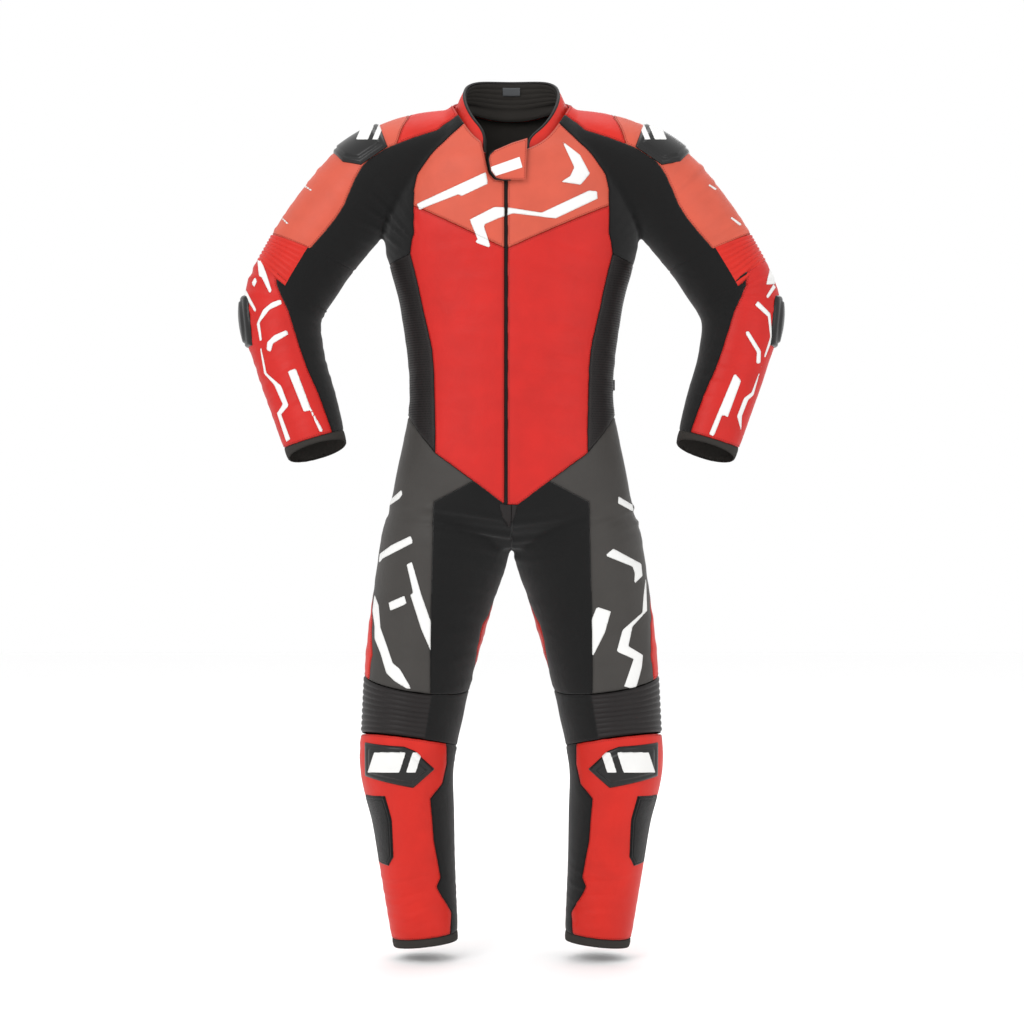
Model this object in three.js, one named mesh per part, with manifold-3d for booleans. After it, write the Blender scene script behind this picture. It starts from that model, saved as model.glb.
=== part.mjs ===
// One-piece leather racing suit, worn shape: outer panels, stretch inserts, hard cups, zips and armour.
// Millimetres, +Z up, the wearer faces -Y and the wearer's left is +X. Lengths below are worked out
// from the ankle hem upwards; the finished group is moved so that its origin is the nape of the neck.
import * as THREE from "three";
import { mergeVertices } from "three/addons/utils/BufferGeometryUtils.js";
import Module from "manifold-3d";

const wasm = await Module();
wasm.setup();

// Body sizes that the suit is cut for.
const INSEAM = 686;
const TORSO_LENGTH = 760;
const CHEST_WIDTH = 434;
const CHEST_DEPTH = 252;
const WAIST_WIDTH = 348;
const WAIST_DEPTH = 212;
const HIP_WIDTH = 404;
const HIP_DEPTH = 242;
const NECK_WIDTH = 204;
const FRONT_Y = -122;
const ELBOW_OUT = 228;
const ELBOW_DROP = 254;
const FOREARM_DROP = 247;
const FOREARM_IN = 64;
const FOREARM_FORWARD = 62;
const UPPER_ARM = 78;
const ELBOW = 70;
const WRIST = 52;
const THIGH = 110;
const KNEE = 84;
const ANKLE = 56;
const KNEE_OUT = 79;

// Leather, seams and clearances.
const WALL = 3;
const SEAM = 0.5;
const CLEARANCE = 0.5;
const SIDE_SEAM_Y = 30;
const CUP_THICKNESS = 7;
const ARMOUR_THICKNESS = 9;
const PROTECTOR_THICKNESS = 15;
const PATCH_WIDTH = 56;
const PATCH_HEIGHT = 130;
const PATCH_DEPTH = 14;
const PATCH_RAISE = 4;

// Closures.
const ZIP_X = -9;
const ZIP_SLOT = 6;
const CHAIN_WIDTH = 4;
const TAPE_WIDTH = 26;
const TAPE_THICKNESS = 1.5;
const SLIDER = { width: 9, height: 14, thickness: 3 };
const PULL = { width: 6, height: 20, thickness: 1.2 };
const SMALL_SLIDER = { width: 8, height: 12, thickness: 4 };
const FLAP_STANDOFF = 7.5;
const FLAP_THICKNESS = 2.2;
const COLLAR_WALL = 4;
const LINING_WALL = 2;

const LEFT = 1;
const RIGHT = -1;

// ---------------------------------------------------------------- the wearer's shape
const station = (along, x, y, z, half, deep) => ({ along, x, y, z, half, deep });
const upTorso = (share) => INSEAM + share * TORSO_LENGTH;

function torsoStation(along, width, depth, back = 0) {
  return station(along, 0, FRONT_Y + depth / 2 + back, upTorso(along), width / 2, depth / 2);
}

const evenly = (count) => Array.from({ length: count + 1 }, (_, i) => i / count);

const torso = {
  sides: 24,
  rings: [0, 0.06, 0.13, 0.23, 0.335, 0.44, 0.54, 0.62, 0.69, 0.78, 0.86, 0.92, 1],
  squareness: 2.3,
  stations: [
    torsoStation(0, 0.7 * HIP_WIDTH, 0.5 * HIP_DEPTH, 60),
    torsoStation(0.06, HIP_WIDTH + 6, 0.86 * HIP_DEPTH, 12),
    torsoStation(0.13, HIP_WIDTH, HIP_DEPTH),
    torsoStation(0.335, WAIST_WIDTH, WAIST_DEPTH),
    torsoStation(0.54, 0.875 * CHEST_WIDTH, 0.95 * CHEST_DEPTH),
    torsoStation(0.69, CHEST_WIDTH, CHEST_DEPTH),
    torsoStation(0.78, 0.95 * CHEST_WIDTH, 0.95 * CHEST_DEPTH),
    torsoStation(0.86, 0.82 * CHEST_WIDTH, 0.85 * CHEST_DEPTH, 1),
    torsoStation(0.92, 0.69 * CHEST_WIDTH, 0.75 * CHEST_DEPTH, 22),
    torsoStation(1, NECK_WIDTH, 0.65 * CHEST_DEPTH, 40),
  ],
};

const shoulder = { x: 0.38 * CHEST_WIDTH, z: upTorso(0.876) };
const elbow = { x: shoulder.x + ELBOW_OUT, z: shoulder.z - ELBOW_DROP };
const cuff = { x: elbow.x - FOREARM_IN, y: 6 - FOREARM_FORWARD, z: elbow.z - FOREARM_DROP };
const downArm = (share) => shoulder.z - share * ELBOW_DROP;
const outArm = (share) => shoulder.x + share * ELBOW_OUT;
const downForearm = (share) => elbow.z - share * FOREARM_DROP;

const arm = {
  sides: 12,
  rings: evenly(10),
  squareness: 2,
  stations: [
    station(0, shoulder.x - 105, 6, shoulder.z + 10, UPPER_ARM + 3, UPPER_ARM + 6),
    station(0.12, shoulder.x, 6, shoulder.z, UPPER_ARM, UPPER_ARM + 8),
    station(0.24, outArm(0.342), 6, downArm(0.154), UPPER_ARM + 1, UPPER_ARM + 6),
    station(0.38, outArm(0.592), 8, downArm(0.394), UPPER_ARM, UPPER_ARM),
    station(0.5, outArm(0.82), 10, downArm(0.677), UPPER_ARM - 3, UPPER_ARM - 6),
    station(0.62, elbow.x, 6, elbow.z, ELBOW, ELBOW - 4),
    station(0.75, elbow.x - 0.2 * FOREARM_IN, cuff.y + 42, downForearm(0.348), ELBOW - 10, ELBOW - 10),
    station(0.88, elbow.x - 0.636 * FOREARM_IN, cuff.y + 20, downForearm(0.696), WRIST + 4.5, WRIST + 3),
    station(1, cuff.x, cuff.y, cuff.z, WRIST, WRIST - 2),
  ],
};

const downLeg = (share) => INSEAM * share;
const outLeg = (share) => 0.2475 * HIP_WIDTH + share * KNEE_OUT;

const leg = {
  sides: 14,
  rings: evenly(10),
  squareness: 2,
  stations: [
    station(0, outLeg(0), 8, downLeg(1.108), 0.86 * THIGH, THIGH - 14),
    station(0.09, outLeg(0.14), 8, downLeg(1.025), THIGH, THIGH + 6),
    station(0.2, outLeg(0.39), 4, downLeg(0.905), THIGH - 6, THIGH - 2),
    station(0.36, outLeg(0.7), -4, downLeg(0.729), KNEE + 10.5, KNEE + 14),
    station(0.52, outLeg(0.92), -10, downLeg(0.551), KNEE, KNEE + 6),
    station(0.6, outLeg(1), -10, downLeg(0.455), KNEE - 4, KNEE),
    station(0.7, outLeg(0.88), 4, downLeg(0.334), KNEE - 13, KNEE - 8),
    station(0.82, outLeg(0.78), 10, downLeg(0.204), ANKLE + 8.5, ANKLE + 12),
    station(1, outLeg(0.6), 6, downLeg(0.009), ANKLE, ANKLE + 2),
  ],
};

// A smooth value for each size of a station, at a place along the limb.
function stationAt(limb, along) {
  const all = limb.stations;
  const last = all.length - 1;
  let i = 0;
  while (i < last - 1 && along > all[i + 1].along) i += 1;
  const before = all[Math.max(i - 1, 0)];
  const [a, b] = [all[i], all[i + 1]];
  const after = all[Math.min(i + 2, last)];
  const span = b.along - a.along;
  const t = (along - a.along) / span;
  const blend = (key) => {
    const slope = (from, to) => (to[key] - from[key]) / (to.along - from.along);
    const startSlope = i === 0 ? slope(a, b) : slope(before, b);
    const endSlope = i === last - 1 ? slope(a, b) : slope(a, after);
    const rise = 3 * t ** 2 - 2 * t ** 3;
    const leave = (t ** 3 - 2 * t ** 2 + t) * span * startSlope;
    const arrive = (t ** 3 - t ** 2) * span * endSlope;
    if (t < 0) return a[key] + t * span * startSlope;
    return a[key] + rise * (b[key] - a[key]) + leave + arrive;
  };
  return { x: blend("x"), y: blend("y"), z: blend("z"), half: blend("half"), deep: blend("deep") };
}

// The unit direction across a limb, away from the wearer's middle, square to the limb's run.
function acrossAt(limb, along) {
  if (limb === torso) return { x: 1, z: 0 };
  const step = 0.004;
  const a = stationAt(limb, Math.max(along - step, 0));
  const b = stationAt(limb, Math.min(along + step, 1));
  const run = Math.hypot(b.x - a.x, b.z - a.z);
  return { x: -(b.z - a.z) / run, z: (b.x - a.x) / run };
}

// A point given in a limb's own terms: along it, across it and front (-1) to back (+1).
function spot(limb, side, along, across, deep, outset = 0) {
  const at = stationAt(limb, along);
  const out = acrossAt(limb, along);
  const reach = (at.half + outset) * across;
  const y = at.y + (at.deep + outset) * deep;
  return new THREE.Vector3(side * (at.x + out.x * reach), y, at.z + out.z * reach);
}

// ---------------------------------------------------------------- solids
function solidFrom(positions, triangles) {
  const vertProperties = new Float32Array(positions);
  const solidOver = (order) => {
    const triVerts = new Uint32Array(order);
    return new wasm.Manifold(new wasm.Mesh({ numProp: 3, vertProperties, triVerts }));
  };
  const made = solidOver(triangles);
  if (made.volume() > 0) return made;
  return solidOver(triangles.map((_, i) => triangles[3 * Math.floor(i / 3) + (2 - (i % 3))]));
}

function solidOf(geometry) {
  const bare = geometry.clone();
  bare.deleteAttribute("normal");
  bare.deleteAttribute("uv");
  const merged = mergeVertices(bare, 1e-4);
  return solidFrom(Array.from(merged.attributes.position.array), Array.from(merged.index.array));
}

function geometryOf(solid) {
  const { vertProperties, triVerts, numProp } = solid.getMesh();
  const positions = [];
  for (let i = 0; i < vertProperties.length; i += numProp) {
    positions.push(...vertProperties.subarray(i, i + 3));
  }
  const geometry = new THREE.BufferGeometry();
  geometry.setAttribute("position", new THREE.Float32BufferAttribute(positions, 3));
  geometry.setIndex(new THREE.BufferAttribute(triVerts, 1));
  geometry.computeVertexNormals();
  return geometry;
}

const unite = (solids) => solids.reduce((sum, next) => sum.add(next));

// A closed skin over a stack of rings that all have the same number of points.
function loft(rings) {
  const count = rings[0].length;
  const positions = rings.flat().flatMap((p) => [p.x, p.y, p.z]);
  const triangles = [];
  for (let row = 0; row + 1 < rings.length; row += 1) {
    for (let i = 0; i < count; i += 1) {
      const [a, b] = [row * count + i, row * count + ((i + 1) % count)];
      triangles.push(a, b, b + count, a, b + count, a + count);
    }
  }
  for (const [row, turn] of [[0, true], [rings.length - 1, false]]) {
    const centre = positions.length / 3;
    const middle = rings[row].reduce((sum, p) => sum.add(p), new THREE.Vector3()).divideScalar(count);
    positions.push(middle.x, middle.y, middle.z);
    for (let i = 0; i < count; i += 1) {
      const [a, b] = [row * count + i, row * count + ((i + 1) % count)];
      triangles.push(...(turn ? [b, a, centre] : [a, b, centre]));
    }
  }
  return solidFrom(positions, triangles);
}

const rounded = (value, squareness) => Math.sign(value) * Math.abs(value) ** (2 / squareness);

function limbSolid(limb, side, outset, overrun) {
  const rings = [];
  for (const along of limb.rings) {
    const ring = [];
    for (let i = 0; i < limb.sides; i += 1) {
      const turn = (2 * Math.PI * i) / limb.sides;
      const across = rounded(Math.cos(turn), limb.squareness);
      const deep = rounded(Math.sin(turn), limb.squareness);
      ring.push(spot(limb, side, along, across, deep, outset));
    }
    rings.push(ring);
  }
  if (overrun) {
    const [inner, end] = rings.slice(-2);
    const run = end.reduce((sum, p, i) => sum.add(p).sub(inner[i]), new THREE.Vector3()).setLength(overrun);
    rings.push(end.map((p) => p.clone().add(run)));
  }
  return loft(rings);
}

// The whole wearer's shape, grown or shrunk; a shrunk one runs on through the cuffs and ankles.
function figure(outset) {
  const overrun = outset < 0 ? 30 : 0;
  const solids = [limbSolid(torso, LEFT, outset, 0)];
  for (const side of [RIGHT, LEFT]) {
    solids.push(limbSolid(arm, side, outset, overrun), limbSolid(leg, side, outset, overrun));
  }
  return unite(solids);
}

const layer = (inner, outer) => figure(outer).subtract(figure(inner));

// A thin closed wall through a grid of points, half its thickness to each side of them.
function sheet(grid, offsets) {
  const [rows, columns] = [grid.length, grid[0].length];
  const positions = [];
  for (const sign of [-1, 1]) {
    grid.forEach((line, i) => line.forEach((p) => {
      const moved = p.clone().addScaledVector(offsets[i], sign);
      positions.push(moved.x, moved.y, moved.z);
    }));
  }
  const at = (layerIndex, i, j) => layerIndex * rows * columns + i * columns + j;
  const triangles = [];
  const quad = (a, b, c, d) => triangles.push(a, b, c, a, c, d);
  for (let i = 0; i + 1 < rows; i += 1) {
    for (let j = 0; j + 1 < columns; j += 1) {
      quad(at(0, i, j), at(0, i, j + 1), at(0, i + 1, j + 1), at(0, i + 1, j));
      quad(at(1, i, j), at(1, i + 1, j), at(1, i + 1, j + 1), at(1, i, j + 1));
    }
  }
  for (let i = 0; i + 1 < rows; i += 1) {
    quad(at(0, i, 0), at(0, i + 1, 0), at(1, i + 1, 0), at(1, i, 0));
    quad(at(0, i + 1, columns - 1), at(0, i, columns - 1), at(1, i, columns - 1), at(1, i + 1, columns - 1));
  }
  for (let j = 0; j + 1 < columns; j += 1) {
    quad(at(0, 0, j + 1), at(0, 0, j), at(1, 0, j), at(1, 0, j + 1));
    quad(at(0, rows - 1, j), at(0, rows - 1, j + 1), at(1, rows - 1, j + 1), at(1, rows - 1, j));
  }
  return solidFrom(positions, triangles);
}

function prism(points, fromY, toY) {
  const outline = new THREE.Shape(points.map(([x, z]) => new THREE.Vector2(x, z)));
  const geometry = new THREE.ExtrudeGeometry(outline, { depth: toY - fromY, bevelEnabled: false });
  geometry.rotateX(Math.PI / 2);
  geometry.translate(0, toY, 0);
  return solidOf(geometry);
}

function block(from, to) {
  const size = new THREE.Vector3().subVectors(to, from);
  const geometry = new THREE.BoxGeometry(Math.abs(size.x), Math.abs(size.y), Math.abs(size.z));
  geometry.translate((from.x + to.x) / 2, (from.y + to.y) / 2, (from.z + to.z) / 2);
  return solidOf(geometry);
}

// ---------------------------------------------------------------- seams
const FRONT = [-1.6, -0.05];
const BACK = [0.1, 1.6];
const THROUGH = [-1.6, 1.6];
const FRONT_TO_SIDE = [-1.6, 0.4];

// A seam is a list of [along, across] points on a limb, cut square through the leather.
function seam(limb, side, points, [fromDeep, toDeep], { curved = false, width = SEAM } = {}) {
  let path = points;
  if (curved) {
    const curve = new THREE.SplineCurve(points.map(([along, across]) => new THREE.Vector2(along, across)));
    path = curve.getPoints(2 * (points.length - 1)).map((p) => [p.x, p.y]);
  }
  const grid = path.map(([along, across]) => [
    spot(limb, side, along, across, fromDeep),
    spot(limb, side, along, across, toDeep),
  ]);
  const offsets = grid.map((_, i) => {
    const ahead = grid[Math.min(i + 1, grid.length - 1)][0];
    const behind = grid[Math.max(i - 1, 0)][0];
    const run = new THREE.Vector3().subVectors(ahead, behind);
    return new THREE.Vector3(-run.z, 0, run.x).setLength(width / 2);
  });
  return sheet(grid, offsets);
}

// A cut round a limb; it may lean with the place across and from front to back.
function ringCut(limb, side, along, leanAcross, leanDeep, width = SEAM) {
  const corners = [-1.4, 1.4].map((across) => [-1.4, 1.4].map((deep) => (
    spot(limb, side, along + leanAcross * across + leanDeep * deep, across, deep)
  )));
  const here = stationAt(limb, along - 0.01);
  const there = stationAt(limb, along + 0.01);
  const run = new THREE.Vector3(side * (there.x - here.x), there.y - here.y, there.z - here.z);
  const offset = run.setLength(width / 2);
  return sheet(corners, [offset, offset]);
}

const HEM_OF_FRONT = 0.098;
const CHEST_EDGE = [
  [1.02, 0.36], [0.94, 0.61], [0.89, 0.75], [0.83, 0.83], [0.76, 0.78],
  [0.7, 0.755], [0.655, 0.8], [0.52, 0.785], [0.44, 0.75], [0.33, 0.745], [0.21, 0.676],
];
const SLEEVE_EDGE = [[0.14, 0.33], [0.214, 0.3], [0.26, 0.16], [0.343, -0.05], [0.42, -0.08], [0.5, 0]];
const FOREARM_EDGE = [
  [0.55, 0.45], [0.58, 0.2], [0.632, -0.24], [0.74, -0.42], [0.86, -0.56], [0.985, -0.68],
];
const THIGH_EDGE = [[-0.15, 0.6], [-0.08, 0.44], [0, 0.31], [0.076, 0.21], [0.3, -0.115], [0.45, -0.34]];
const SHIN_EDGE = [
  [0.51, -0.72], [0.585, -0.85], [0.64, -0.78], [0.665, -0.5], [0.755, -0.51],
  [0.845, -0.64], [0.864, -0.51], [0.93, -0.86], [0.995, -0.75],
];
const ELBOW_RING = { top: 0.4725, topLean: 0.0175, bottom: 0.5775, bottomLean: -0.0225 };
const KNEE_RING = { top: 0.418, topLean: -0.014, bottom: 0.545, bottomLean: 0.015 };
const SLEEVE_CUFF = 0.966;
const LEG_CUFF = 0.978;

// The front-to-back place of the trouser side seam, which swings forward towards the knee.
function legSeamY(along, across) {
  const fall = THREE.MathUtils.smoothstep(along, 0.15, 0.4);
  const outer = THREE.MathUtils.lerp(SIDE_SEAM_Y, -62, fall);
  const inner = SIDE_SEAM_Y - 70 * Math.sin(Math.PI * THREE.MathUtils.smoothstep(along, 0.14, 0.42));
  return THREE.MathUtils.lerp(inner, outer, THREE.MathUtils.clamp((across + 1) / 2, 0, 1));
}

function legSideSeam(side) {
  const grid = [];
  for (let row = 0; row <= 7; row += 1) {
    const along = 0.065 * row;
    grid.push([-1.25, 0, 1.25].map((across) => {
      const p = spot(leg, side, along, across, 0);
      p.y = legSeamY(along, across);
      return p;
    }));
  }
  return sheet(grid, grid.map(() => new THREE.Vector3(0, SEAM / 2, 0)));
}

// The seam behind the side panel and along the inside of the upper arm lies in one upright plane.
function bodySideSeam(side) {
  const flat = (p) => [p.x, p.z];
  const outline = [
    [0, upTorso(0.8)],
    ...[0.12, 0.3, 0.5].map((along) => flat(spot(arm, side, along, -0.2, 0))),
    flat(spot(arm, side, 0.5, -1.4, 0)),
    ...[0.6, 0.3, 0].map((along) => flat(spot(torso, side, along, 1.3, 0))),
    [0, upTorso(-0.04)],
  ];
  return prism(outline, SIDE_SEAM_Y - SEAM / 2, SIDE_SEAM_Y + SEAM / 2);
}

function sideSeams(side) {
  const zipShare = (side * ZIP_X * 2) / CHEST_WIDTH;
  return [
    seam(torso, side, CHEST_EDGE, FRONT, { curved: true }),
    seam(torso, side, [[0.216, 0.7], [HEM_OF_FRONT, 0.05]], FRONT),
    seam(torso, side, [[0.764, 0.81], [0.66, zipShare]], FRONT),
    seam(torso, side, [[0.658, 0.77], [0.625, 1.15]], FRONT_TO_SIDE),
    seam(torso, side, [[0.205, 0.65], [0.26, 0.87], [0.34, 1.15]], FRONT_TO_SIDE),
    seam(torso, side, [[0.9, 1.25], [0.84, 1], [0.755, 0.985], [0.68, 1.06], [0.65, 1.2]], BACK,
      { curved: true }),
    seam(arm, side, [[0, 1.35], [0.02, 0.85], [0.07, 0.45], [0.11, 0.355], [0.16, 0.32]], THROUGH),
    seam(arm, side, [[0.15, 0.29], [0.108, 1], [0.1, 1.25]], THROUGH),
    seam(arm, side, SLEEVE_EDGE, FRONT, { curved: true }),
    seam(arm, side, FOREARM_EDGE, FRONT, { curved: true }),
    seam(arm, side, [[0.55, -0.5], [0.985, -0.5]], BACK),
    ringCut(arm, side, ELBOW_RING.top, ELBOW_RING.topLean, 0),
    ringCut(arm, side, ELBOW_RING.bottom, ELBOW_RING.bottomLean, 0),
    ringCut(arm, side, SLEEVE_CUFF, 0, 0),
    seam(leg, side, THIGH_EDGE, FRONT),
    seam(leg, side, SHIN_EDGE, FRONT),
    seam(leg, side, [[0.52, -0.25], [0.995, -0.25]], BACK),
    ringCut(leg, side, KNEE_RING.top, 0, KNEE_RING.topLean),
    ringCut(leg, side, KNEE_RING.bottom, 0, KNEE_RING.bottomLean),
    ringCut(leg, side, LEG_CUFF, 0, 0),
    legSideSeam(side),
    bodySideSeam(side),
  ];
}

const zipTop = upTorso(0.858);
const zipBottom = upTorso(HEM_OF_FRONT);
const throatZ = upTorso(0.81);

function centreCuts() {
  const slotLeft = ZIP_X - ZIP_SLOT / 2;
  const slotRight = ZIP_X + ZIP_SLOT / 2;
  const slot = [
    [slotLeft, zipBottom], [slotRight, zipBottom], [slotRight, upTorso(1)], [slotLeft, upTorso(1)],
  ];
  const throat = [
    [slotRight, throatZ], [ZIP_X - 19, throatZ + 1], [ZIP_X - 29, throatZ + 12],
    [ZIP_X - 44, throatZ + 78], [ZIP_X - 44, throatZ + 120], [slotRight, throatZ + 120],
  ];
  return [
    prism(slot, FRONT_Y - 60, 0),
    prism(throat, FRONT_Y - 60, 0),
    seam(torso, LEFT, [[HEM_OF_FRONT, -0.09], [HEM_OF_FRONT, 0.09]], FRONT),
    seam(torso, LEFT, [[0.28, -1.25], [0.28, 1.25]], [0.15, 1.6]),
    seam(torso, LEFT, [[0.41, -1.25], [0.41, 1.25]], [0.15, 1.6]),
  ];
}

// ---------------------------------------------------------------- collar
const COLLAR_SIDES = 24;
const COLLAR_DEPTH = 0.373 * CHEST_DEPTH;
const COLLAR_Y = FRONT_Y + 104;
// Each ring's heights are measured from the top of the torso.
const COLLAR = {
  base: { half: NECK_WIDTH / 2 - 6, deep: COLLAR_DEPTH, y: COLLAR_Y, back: 4, side: -12, front: -112 },
  top: { half: NECK_WIDTH / 2 - 19, deep: COLLAR_DEPTH - 14, y: COLLAR_Y, back: 50, side: 16, front: -75 },
};

// One ring of the collar: it dips at the front, and may be grown, and raised or lowered.
function collarRing(ring, grow, lift) {
  const points = [];
  const raised = upTorso(1) + lift;
  const slope = (ring.back - ring.front) / 2;
  const bend = (ring.back + ring.front) / 2 - ring.side;
  for (let i = 0; i < COLLAR_SIDES; i += 1) {
    const turn = (2 * Math.PI * i) / COLLAR_SIDES;
    const back = Math.sin(turn);
    const x = (ring.half + grow) * Math.cos(turn);
    const y = ring.y + (ring.deep + grow) * back;
    points.push(new THREE.Vector3(x, y, raised + ring.side + slope * back + bend * back * back));
  }
  return points;
}

function neckOpening() {
  const { base } = COLLAR;
  return loft([
    collarRing(base, -25, -60),
    collarRing(base, CLEARANCE, -9),
    collarRing(base, CLEARANCE, 0),
    collarRing(base, 25, 90),
  ]);
}

function collarTube(grow, trim) {
  const { base, top } = COLLAR;
  return loft([collarRing(base, grow, -6 + trim), collarRing(base, grow, 0), collarRing(top, grow, -trim)]);
}

function makeCollars() {
  const front = -200;
  const gap = (margin) => block(
    new THREE.Vector3(ZIP_X - 36 - margin, front, upTorso(0.75)),
    new THREE.Vector3(ZIP_X + 37 + margin, COLLAR.base.y, upTorso(1.1)),
  );
  const band = (outer, inner, trim) => collarTube(outer, trim).subtract(
    loft([
      collarRing(COLLAR.base, inner, -40),
      collarRing(COLLAR.base, inner, 0),
      collarRing(COLLAR.top, inner, 0),
      collarRing(COLLAR.top, inner, 40),
    ]),
  );
  const collar = band(0, -COLLAR_WALL, 0).subtract(gap(0));
  const liningOuter = -COLLAR_WALL - CLEARANCE;
  const lining = band(liningOuter, liningOuter - LINING_WALL, 3).subtract(gap(3));
  return { collar, collar_lining: lining };
}

// ---------------------------------------------------------------- pieces cut from the leather shell
function cutShell() {
  const whole = layer(-WALL, 0).subtract(neckOpening());
  const cuts = [...centreCuts(), ...sideSeams(RIGHT), ...sideSeams(LEFT)];
  return cuts.reduce((rest, cut) => rest.subtract(cut), whole).decompose();
}

// A small probe that sits in the leather at the middle of a panel.
function probe(limb, side, along, across, face) {
  const deep = face * Math.sqrt(Math.max(1 - Math.abs(across) ** limb.squareness, 0));
  const skin = spot(limb, side, along, across, deep, -WALL / 2);
  const edge = new THREE.Vector3(2, 2, 2);
  return block(skin.clone().sub(edge), skin.clone().add(edge));
}

const sideName = (side) => (side === RIGHT ? "right" : "left");

function panelProbes() {
  const probes = {
    back_panel: probe(torso, LEFT, 0.6, 0, 1),
    lumbar_stretch: probe(torso, LEFT, 0.345, 0, 1),
    seat_panel: probe(torso, LEFT, 0.2, 0, 1),
    crotch_stretch: probe(leg, LEFT, 0.2, -0.3, -1),
  };
  for (const side of [RIGHT, LEFT]) {
    const panels = {
      chest_panel: [torso, 0.8, 0.45, -1],
      front_panel: [torso, 0.45, 0.4, -1],
      side_panel: [torso, 0.45, 0.98, -1],
      shoulder_yoke: [arm, 0.06, 0.93, -1],
      underarm_stretch: [arm, 0.4, -0.6, -1],
      upper_sleeve: [arm, 0.33, 0.8, 1],
      elbow_stretch: [arm, 0.525, 0.5, -1],
      forearm_panel: [arm, 0.8, 0.6, -1],
      forearm_stretch: [arm, 0.8, -0.9, -1],
      sleeve_cuff: [arm, 0.983, 0.5, -1],
      thigh_panel: [leg, 0.25, 0.5, -1],
      knee_stretch: [leg, 0.48, 0.2, -1],
      shin_panel: [leg, 0.75, 0.5, -1],
      calf_stretch: [leg, 0.75, -0.9, -1],
      leg_cuff: [leg, 0.99, 0.3, -1],
    };
    for (const [name, [limb, along, across, face]] of Object.entries(panels)) {
      probes[`${name}_${sideName(side)}`] = probe(limb, side, along, across, face);
    }
  }
  return probes;
}

function makePanels() {
  const bodies = cutShell();
  const panels = {};
  for (const [name, small] of Object.entries(panelProbes())) {
    panels[name] = bodies.find((body) => body.intersect(small).volume() > 1);
  }
  return panels;
}

// ---------------------------------------------------------------- cups, armour and patches
// The part of a layer that lies inside an outline of [along, across] points on a limb.
function inOutline(solid, limb, side, points, fromY, toY) {
  const corners = points.map(([along, across]) => spot(limb, side, along, across, 0));
  return solid.intersect(prism(corners.map((p) => [p.x, p.z]), fromY, toY));
}

const CUP_OUTLINES = {
  shoulder_cup: [arm, [[0.165, 0.35], [0.235, 0.3], [0.262, 0.62], [0.262, 1.3], [0.16, 1.3]], -150, 70],
  elbow_cup: [arm, [[0.612, 1.3], [0.612, 0.84], [0.655, 0.74], [0.7, 0.84], [0.7, 1.3]], -90, 90],
  knee_cup: [leg, [[0.598, -0.62], [0.556, -0.18], [0.55, 0.05], [0.556, 0.88], [0.61, 0.88], [0.636, -0.15]],
    -150, -10],
};

const ARMOUR_OUTLINES = {
  shoulder_armour: [arm, [[0.16, 0.28], [0.3, 0.28], [0.3, 1.3], [0.16, 1.3]], -150, 70],
  elbow_armour: [arm, [[0.61, 0.25], [0.72, 0.25], [0.72, 1.3], [0.61, 1.3]], -150, 90],
  knee_armour: [leg, [[0.57, -0.6], [0.57, 0.6], [0.68, 0.55], [0.68, -0.55]], -150, -20],
};

function outlined(solid, outlines) {
  const pieces = {};
  for (const [name, [limb, points, fromY, toY]] of Object.entries(outlines)) {
    for (const side of [RIGHT, LEFT]) {
      pieces[`${name}_${sideName(side)}`] = inOutline(solid, limb, side, points, fromY, toY);
    }
  }
  return pieces;
}

const makeCups = () => outlined(layer(CLEARANCE, CLEARANCE + CUP_THICKNESS), CUP_OUTLINES);

function makeArmour() {
  const skin = -WALL - CLEARANCE;
  const pieces = outlined(layer(skin - ARMOUR_THICKNESS, skin), ARMOUR_OUTLINES);
  const plate = [
    [0.44, -0.5], [0.78, -0.6], [0.84, -0.3], [0.84, 0.3],
    [0.78, 0.6], [0.44, 0.5], [0.33, 0.2], [0.33, -0.2],
  ];
  const padding = layer(skin - PROTECTOR_THICKNESS, skin);
  return { ...pieces, back_protector: inOutline(padding, torso, LEFT, plate, 40, 250) };
}

function makeHump() {
  const shape = new THREE.SphereGeometry(1, 14, 10);
  shape.scale(0.19 * CHEST_WIDTH, 62, 118);
  shape.rotateX(-0.1);
  const at = spot(torso, LEFT, 0.82, 0, 1);
  shape.translate(0, at.y - 14, at.z);
  return solidOf(shape).subtract(figure(CLEARANCE));
}

// The loop patch is flat outside and follows the shin inside; a knee slider puck sticks to it.
const PATCH = { from: 0.65, to: 0.8, across: 0.76, deep: -0.65 };

function patchFrame(side) {
  const top = spot(leg, side, PATCH.from, PATCH.across, PATCH.deep, PATCH_RAISE);
  const bottom = spot(leg, side, PATCH.to, PATCH.across, PATCH.deep, PATCH_RAISE);
  const up = new THREE.Vector3().subVectors(top, bottom).normalize();
  const wide = new THREE.Vector3(-PATCH.deep, side * PATCH.across, 0).normalize();
  const out = new THREE.Vector3().crossVectors(wide, up).multiplyScalar(side);
  const centre = top.add(bottom).divideScalar(2);
  if (out.y > 0) out.negate();
  return { centre, out, up };
}

function makePatch(side) {
  const { centre, out, up } = patchFrame(side);
  const shape = new THREE.BoxGeometry(PATCH_WIDTH, PATCH_DEPTH, PATCH_HEIGHT);
  const wide = new THREE.Vector3().crossVectors(out, up);
  shape.applyMatrix4(new THREE.Matrix4().makeBasis(wide, out, up));
  const middle = centre.addScaledVector(out, -PATCH_DEPTH / 2);
  shape.translate(middle.x, middle.y, middle.z);
  return solidOf(shape).subtract(figure(CLEARANCE));
}

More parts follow.
